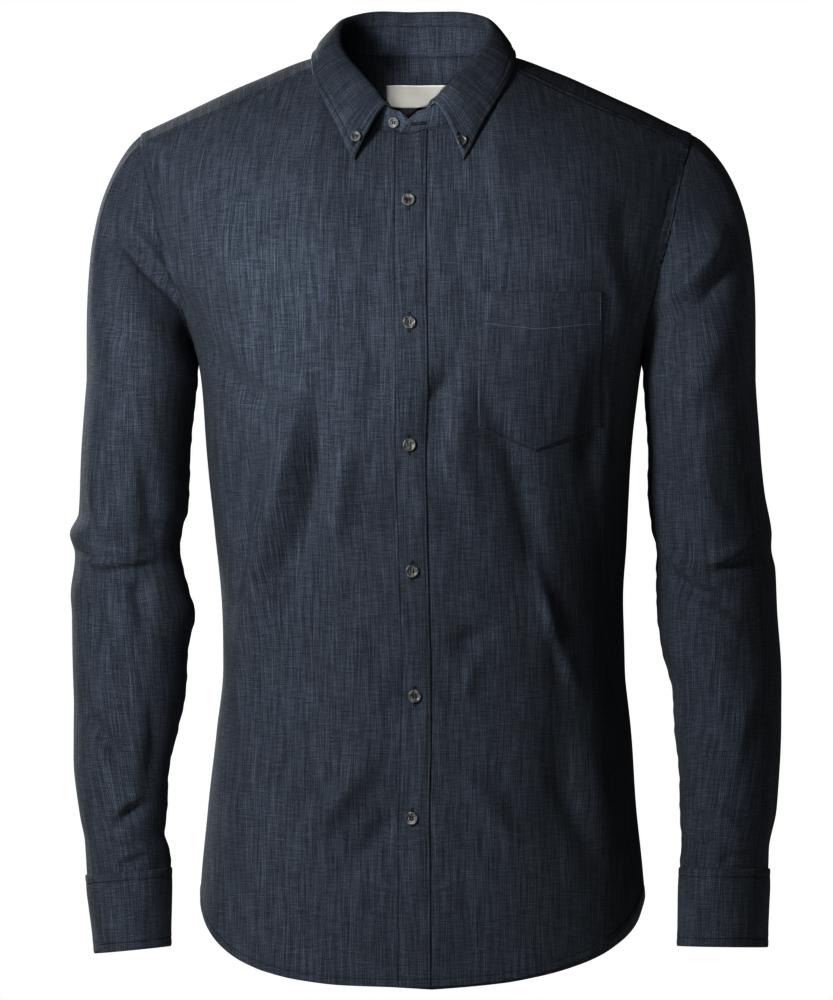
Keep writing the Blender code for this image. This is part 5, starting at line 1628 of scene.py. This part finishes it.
@dataclass
class Collar:
    """The stand and the leaf, their stitches and their three buttons."""

    finishes: Finishes
    step: float = 2.2
    inner_band: float = 0.72

    def build(self, main_yoke: Grid) -> None:
        """Make the collar from the neck edge up."""
        edge = neck_grid(main_yoke)
        main = stand_grid(edge)
        rows, columns = even(0, 1, 1.6 / STAND_HEIGHT), even(0, 1, self.step / COLLAR_LENGTH)
        stand = Surface(refined(refined(main, columns, 1), rows, 0), flip=True)
        away = np.minimum(stand.away_from(stand.points[:, 0]), stand.away_from(stand.points[:, -1]))
        up, down = (np.linalg.norm(stand.points - stand.points[row], axis=-1) for row in (0, -1))
        past_leaf, far = 60, 99
        near = np.minimum(away, np.minimum(up, np.where(away < past_leaf, down, far)))
        height = groove(near, 2.2, 0.25, 0.8) + turned_under(near, 0.45, 1.1)
        done = stand.moved(height)
        cloth_piece(done.tucked(Edge.FIRST_ROW, 0.9, -0.1), "collar_stand_cloth", self.finishes.cloth,
                    TWO_PLY_CLOTH)
        stitching = Stitching()
        points = done.points
        stitching.rows(Ground(done), points[1, 2:-2], points[2:-2, 1], points[2:-2, -2])
        leaf = self.build_leaf(main, stitching)
        stitch_piece(stitching, "collar_stitching", self.finishes.thread)
        small = Button(diameter=9.0, thickness=2.1)
        right_end = Ground(Surface(done.points[:, :40], flip=True))
        spot, out = right_end.seen_from(*NECK_BUTTON_AT, -1)
        sew_button("neck_button", small, spot, out, np.array([0.1, 0, 1.0]), self.finishes, None)
        for name, place in TIP_BUTTONS_AT.items():
            spot, out = leaf.seen_from(*place, -1)
            toward = np.array([0.35 if name == "right" else -0.35, 0, 1.0])
            sew_button(f"collar_button_{name}", small, spot, out, toward, self.finishes, toward)
        self.left_end_hole(done)

    def left_end_hole(self, stand: Surface) -> None:
        """The level buttonhole in the stand's left end."""
        ground = Ground(Surface(stand.points[:, -40:], flip=True))
        spot, out = ground.seen_from(*LEFT_END_HOLE_AT, -1)
        buttonhole_piece("stand_buttonhole", spot, out, np.array([1.0, 0, 0.08]), 11.0, self.finishes)

    def curved_ends(self, leaf: Grid) -> Grid:
        """The leaf's main points with both front edges drawn in below the roll, more on the left.

        For each end: its column, the next one, the one that it is drawn toward, and how far.
        """
        leaf = leaf.copy()
        bow = np.sin(np.pi * np.linspace(0, 1, len(leaf)) ** 0.62)[:, None] ** 1.5
        for end, second, inner, depth in ((0, 1, 4, 3.5), (-1, -2, -5, 5.5)):
            inward = unit(leaf[:, inner] - leaf[:, end])
            leaf[:, end] += inward * bow * depth
            leaf[:, second] += inward * bow * depth * 0.55
        return leaf

    def build_leaf(self, stand: Grid, stitching: Stitching) -> Ground:
        """The leaf: up inside the stand from its seam, over the roll and down to its edge."""
        main = self.curved_ends(leaf_grid())
        count = main.shape[1]
        middle = stand.shape[1] // 2
        lengths, along = lengths_along(main[0]), lengths_along(stand[-1])
        signed = (lengths - lengths[count // 2]) / lengths[-1] * 2
        keys = (along - along[middle]) / (lengths[-1] / 2)
        inner = []
        for share in (self.inner_band, 0.82, 0.92, 0.985):
            row = np.array([read_line(share, STAND_ROWS, column) for column in np.swapaxes(stand, 0, 1)])
            line = read_line(signed, keys, row)
            inner.append(line - level_out(line) * (TWO_PLY_CLOTH + 0.5))
        grid = np.concatenate([np.stack(inner), main])
        rows, columns = even(0, 1, 1.5 / LEAF_HEIGHT), even(0, 1, self.step / COLLAR_LENGTH)
        surface = Surface(refined(refined(grid, columns, 1), rows, 0))
        points = surface.points
        away = np.min([surface.away_from(line) for line in (points[:, 0], points[:, -1], points[-1])], axis=0)
        along = points[..., 0] + points[..., 2]
        stitch_in = 6.0
        height = (groove(away, stitch_in, 0.5, 0.9) + turned_under(away, 0.6, 1.2)
                  + pucker(along, away - 5, 0.25, 14, 6) + 0.3 * waver(along, 43) * ease((away - 4) / 10))
        done = surface.moved(height)
        cloth_piece(done, "collar_leaf_cloth", self.finishes.cloth, TWO_PLY_CLOTH)
        ground = Ground(done)
        stitching.rows(ground, line_inside(points, stitch_in))
        return ground


def line_inside(points: Grid, at: float) -> Grid:
    """A line round a leaf at a distance from its ends and edge: down one end, along, and up the other."""
    rows, columns = points.shape[:2]
    below_roll = 0.42
    first = int(rows * below_roll)
    across, along = (np.linalg.norm(np.diff(line, axis=0), axis=1).mean()
                     for line in (points[-6], points[first:, columns // 2]))
    sides, foot = max(int(round(at / across)), 1), max(int(round(at / along)), 1)
    return np.concatenate([points[first:-foot, sides], points[-1 - foot, sides:-sides],
                           points[first:-foot, -1 - sides][::-1]])


@dataclass
class NeckLabel:
    """The blank label inside the yoke and the tab under it."""

    finishes: Finishes

    def build(self, yoke: Surface) -> None:
        """Make both on the inside of the yoke."""
        ground = Ground(yoke)
        label = inside_yoke_surface(ground, LABEL, 1.0)
        points = label.points
        away = np.minimum(points[..., 0] - LABEL["left"], LABEL["right"] - points[..., 0])
        down = np.minimum(LABEL["top"] - points[..., 2], points[..., 2] - LABEL["bottom"])
        ripple = waver(points[..., 0] * 0.8 + points[..., 2], 31) * ease(away / 6) * ease(down / 2 + 0.3)
        done = label.moved(0.35 * ease((4.5 - away) / 0.8) + turned_under(away, 0.7, 0.8) + 0.35 * ripple)
        cloth_piece(done, "neck_label_satin", self.finishes.satin, SATIN_CLOTH,
                    "neck_label")
        stitching = Stitching(thread=0.35, pitch=1.8, gap=0.4)
        stitching.rows(Ground(done), done.points[1:-1, 2], done.points[1:-1, -3])
        stitch_piece(stitching, "label_stitching", self.finishes.pale_thread)
        tab = inside_yoke_surface(ground, TAB, 0.5)
        ends = np.minimum(tab.points[..., 0] - TAB["left"], TAB["right"] - tab.points[..., 0])
        cloth_piece(tab.moved(0.3 * ease(ends / 3)), "label_tab_ribbon", self.finishes.ribbon, SATIN_CLOTH,
                    "label_tab")


# The studio

@dataclass
class Studio:
    """A pale floor, a white sky that lights little, soft lamps and the camera."""

    floor_height: float = -1.05
    distance: float = 30.0
    frame_height: float = 0.82
    aim: tuple[float, float] = (-0.0037, -0.361)
    contrast: float = 0.62
    shirt_middle: Place = (0.0, 0.0, -0.36)

    def build(self) -> None:
        """Set up the floor, the sky, the lamps and the camera."""
        self.build_floor()
        self.build_sky()
        self.lamp("key", (-0.75, -1.15, 0.1), 0.3, 32.0)
        self.lamp("behind", (-1.1, 1.9, 0.5), 0.4, 80.0)
        self.lamp("beside", (1.9, 0.5, 0.2), 0.5, 7.0)
        self.spot("left chest", (-0.7, -1.9, -0.4), (-0.09, -0.12, -0.15), 11.0, 62.0)
        self.spot("right chest", (0.5, -2.0, -0.25), (0.15, -0.1, -0.18), 9.0, 75.0)
        self.spot("label", (0.0, -2.3, -0.1), (0.0, 0.08, -0.024), 1.6, 260.0, 0.01)
        self.spot("neck", (0.0, -2.3, 1.0), (0.002, 0.08, -0.01), 2.6, 110.0, 0.02)
        self.build_camera()

    def build_floor(self) -> None:
        """A pale round floor well under the hem."""
        radius, corners = 1.2, 96
        angle = np.arange(corners) * 2 * np.pi / corners
        points = np.stack([radius * np.cos(angle), radius * np.sin(angle),
                           self.floor_height + 0 * angle], axis=-1)
        mesh = bpy.data.meshes.new("floor")
        mesh.from_pydata(points.tolist(), [], [list(range(corners))])
        made, tree, shader = start_finish("pale_floor")
        feed(tree, shader, {"Base Color": linear("#F2F1EE"), "Roughness": 0.9})
        mesh.materials.append(made)
        floor = in_scene("floor", mesh)

    def build_sky(self) -> None:
        """White where the camera looks past the shirt, dim where it only lights."""
        world = bpy.data.worlds.new("studio")
        bpy.context.scene.world = world
        world.use_nodes = True
        tree = world.node_tree
        tree.nodes.clear()
        path = add_node(tree, "ShaderNodeLightPath")
        dim, white = (add_node(tree, "ShaderNodeBackground", {"Color": (1, 1, 1, 1), "Strength": strength})
                      for strength in (0.035, 1.0))
        mixed = add_node(tree, "ShaderNodeMixShader", {
            0: path.outputs["Is Camera Ray"], 1: dim.outputs[0], 2: white.outputs[0]})
        add_node(tree, "ShaderNodeOutputWorld", {"Surface": mixed.outputs[0]})

    def lamp(self, name: str, place: Place, size: float, power: float) -> None:
        """A square soft lamp that points at the middle of the shirt."""
        light = bpy.data.lights.new(name, "AREA")
        light.energy, light.size = power, size
        self.hang(light, place, self.shirt_middle)

    def hang(self, light: Light, place: Place, aim: Place) -> None:
        """Hang a lamp at a place, turned to its aim and hidden from the camera."""
        made = in_scene(light.name, light)
        made.location = place
        made.rotation_euler = (Vector(aim) - Vector(place)).to_track_quat("-Z", "Y").to_euler()
        made.visible_camera = False

    def spot(self, name: str, place: Place, aim: Place, angle: float, power: float,
             softness: float = 0.12) -> None:
        """A soft-edged spot at one part of the shirt, by its cone's angle in degrees."""
        light = bpy.data.lights.new(name, "SPOT")
        light.energy, light.shadow_soft_size = power, softness
        light.spot_size, light.spot_blend = math.radians(angle), 0.7
        self.hang(light, place, aim)

    def build_camera(self) -> None:
        """A long lens, level and square on, that shows the frame's height at the front of the shirt."""
        sensor, front_depth = 36.0, 0.06
        lens = bpy.data.cameras.new("camera")
        lens.sensor_width = sensor
        lens.lens = sensor * (self.distance - front_depth) / self.frame_height
        camera = in_scene("camera", lens)
        camera.location = (self.aim[0], -self.distance, self.aim[1])
        camera.rotation_euler = (math.pi / 2, 0, 0)
        bpy.context.scene.camera = camera
        view = bpy.context.scene.view_settings
        view.view_transform = "Standard"
        view.gamma = self.contrast


def main() -> None:
    """Build the shirt in its studio."""
    logging.basicConfig(level=logging.INFO, format="%(message)s")
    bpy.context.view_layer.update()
    Studio().build()
    finishes = Finishes()
    trunk = Trunk(finishes)
    holes = {side: trunk.armhole(side) for side in (1, -1)}
    trunk.build()
    Sleeve("right", -1, SLEEVE_RIGHT, CUFF_RIGHT, finishes).build(holes[-1])
    Sleeve("left", 1, SLEEVE_LEFT, CUFF_LEFT, finishes).build(holes[1])
    Collar(finishes).build(trunk.main_yoke)
    NeckLabel(finishes).build(trunk.yoke)
    placket = Ground(trunk.placket)
    line = trunk.placket.points[:, trunk.placket.points.shape[1] // 2]
    for number, height in enumerate(FRONT_BUTTON_HEIGHTS, start=1):
        spot, out = placket.seen_from(float(np.interp(height, line[:, 2], line[:, 0])), height, -1)
        sew_button(f"front_button_{number}", Button(), spot, out, UP, finishes, UP)
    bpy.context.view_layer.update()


if __name__ == "__main__":
    main()
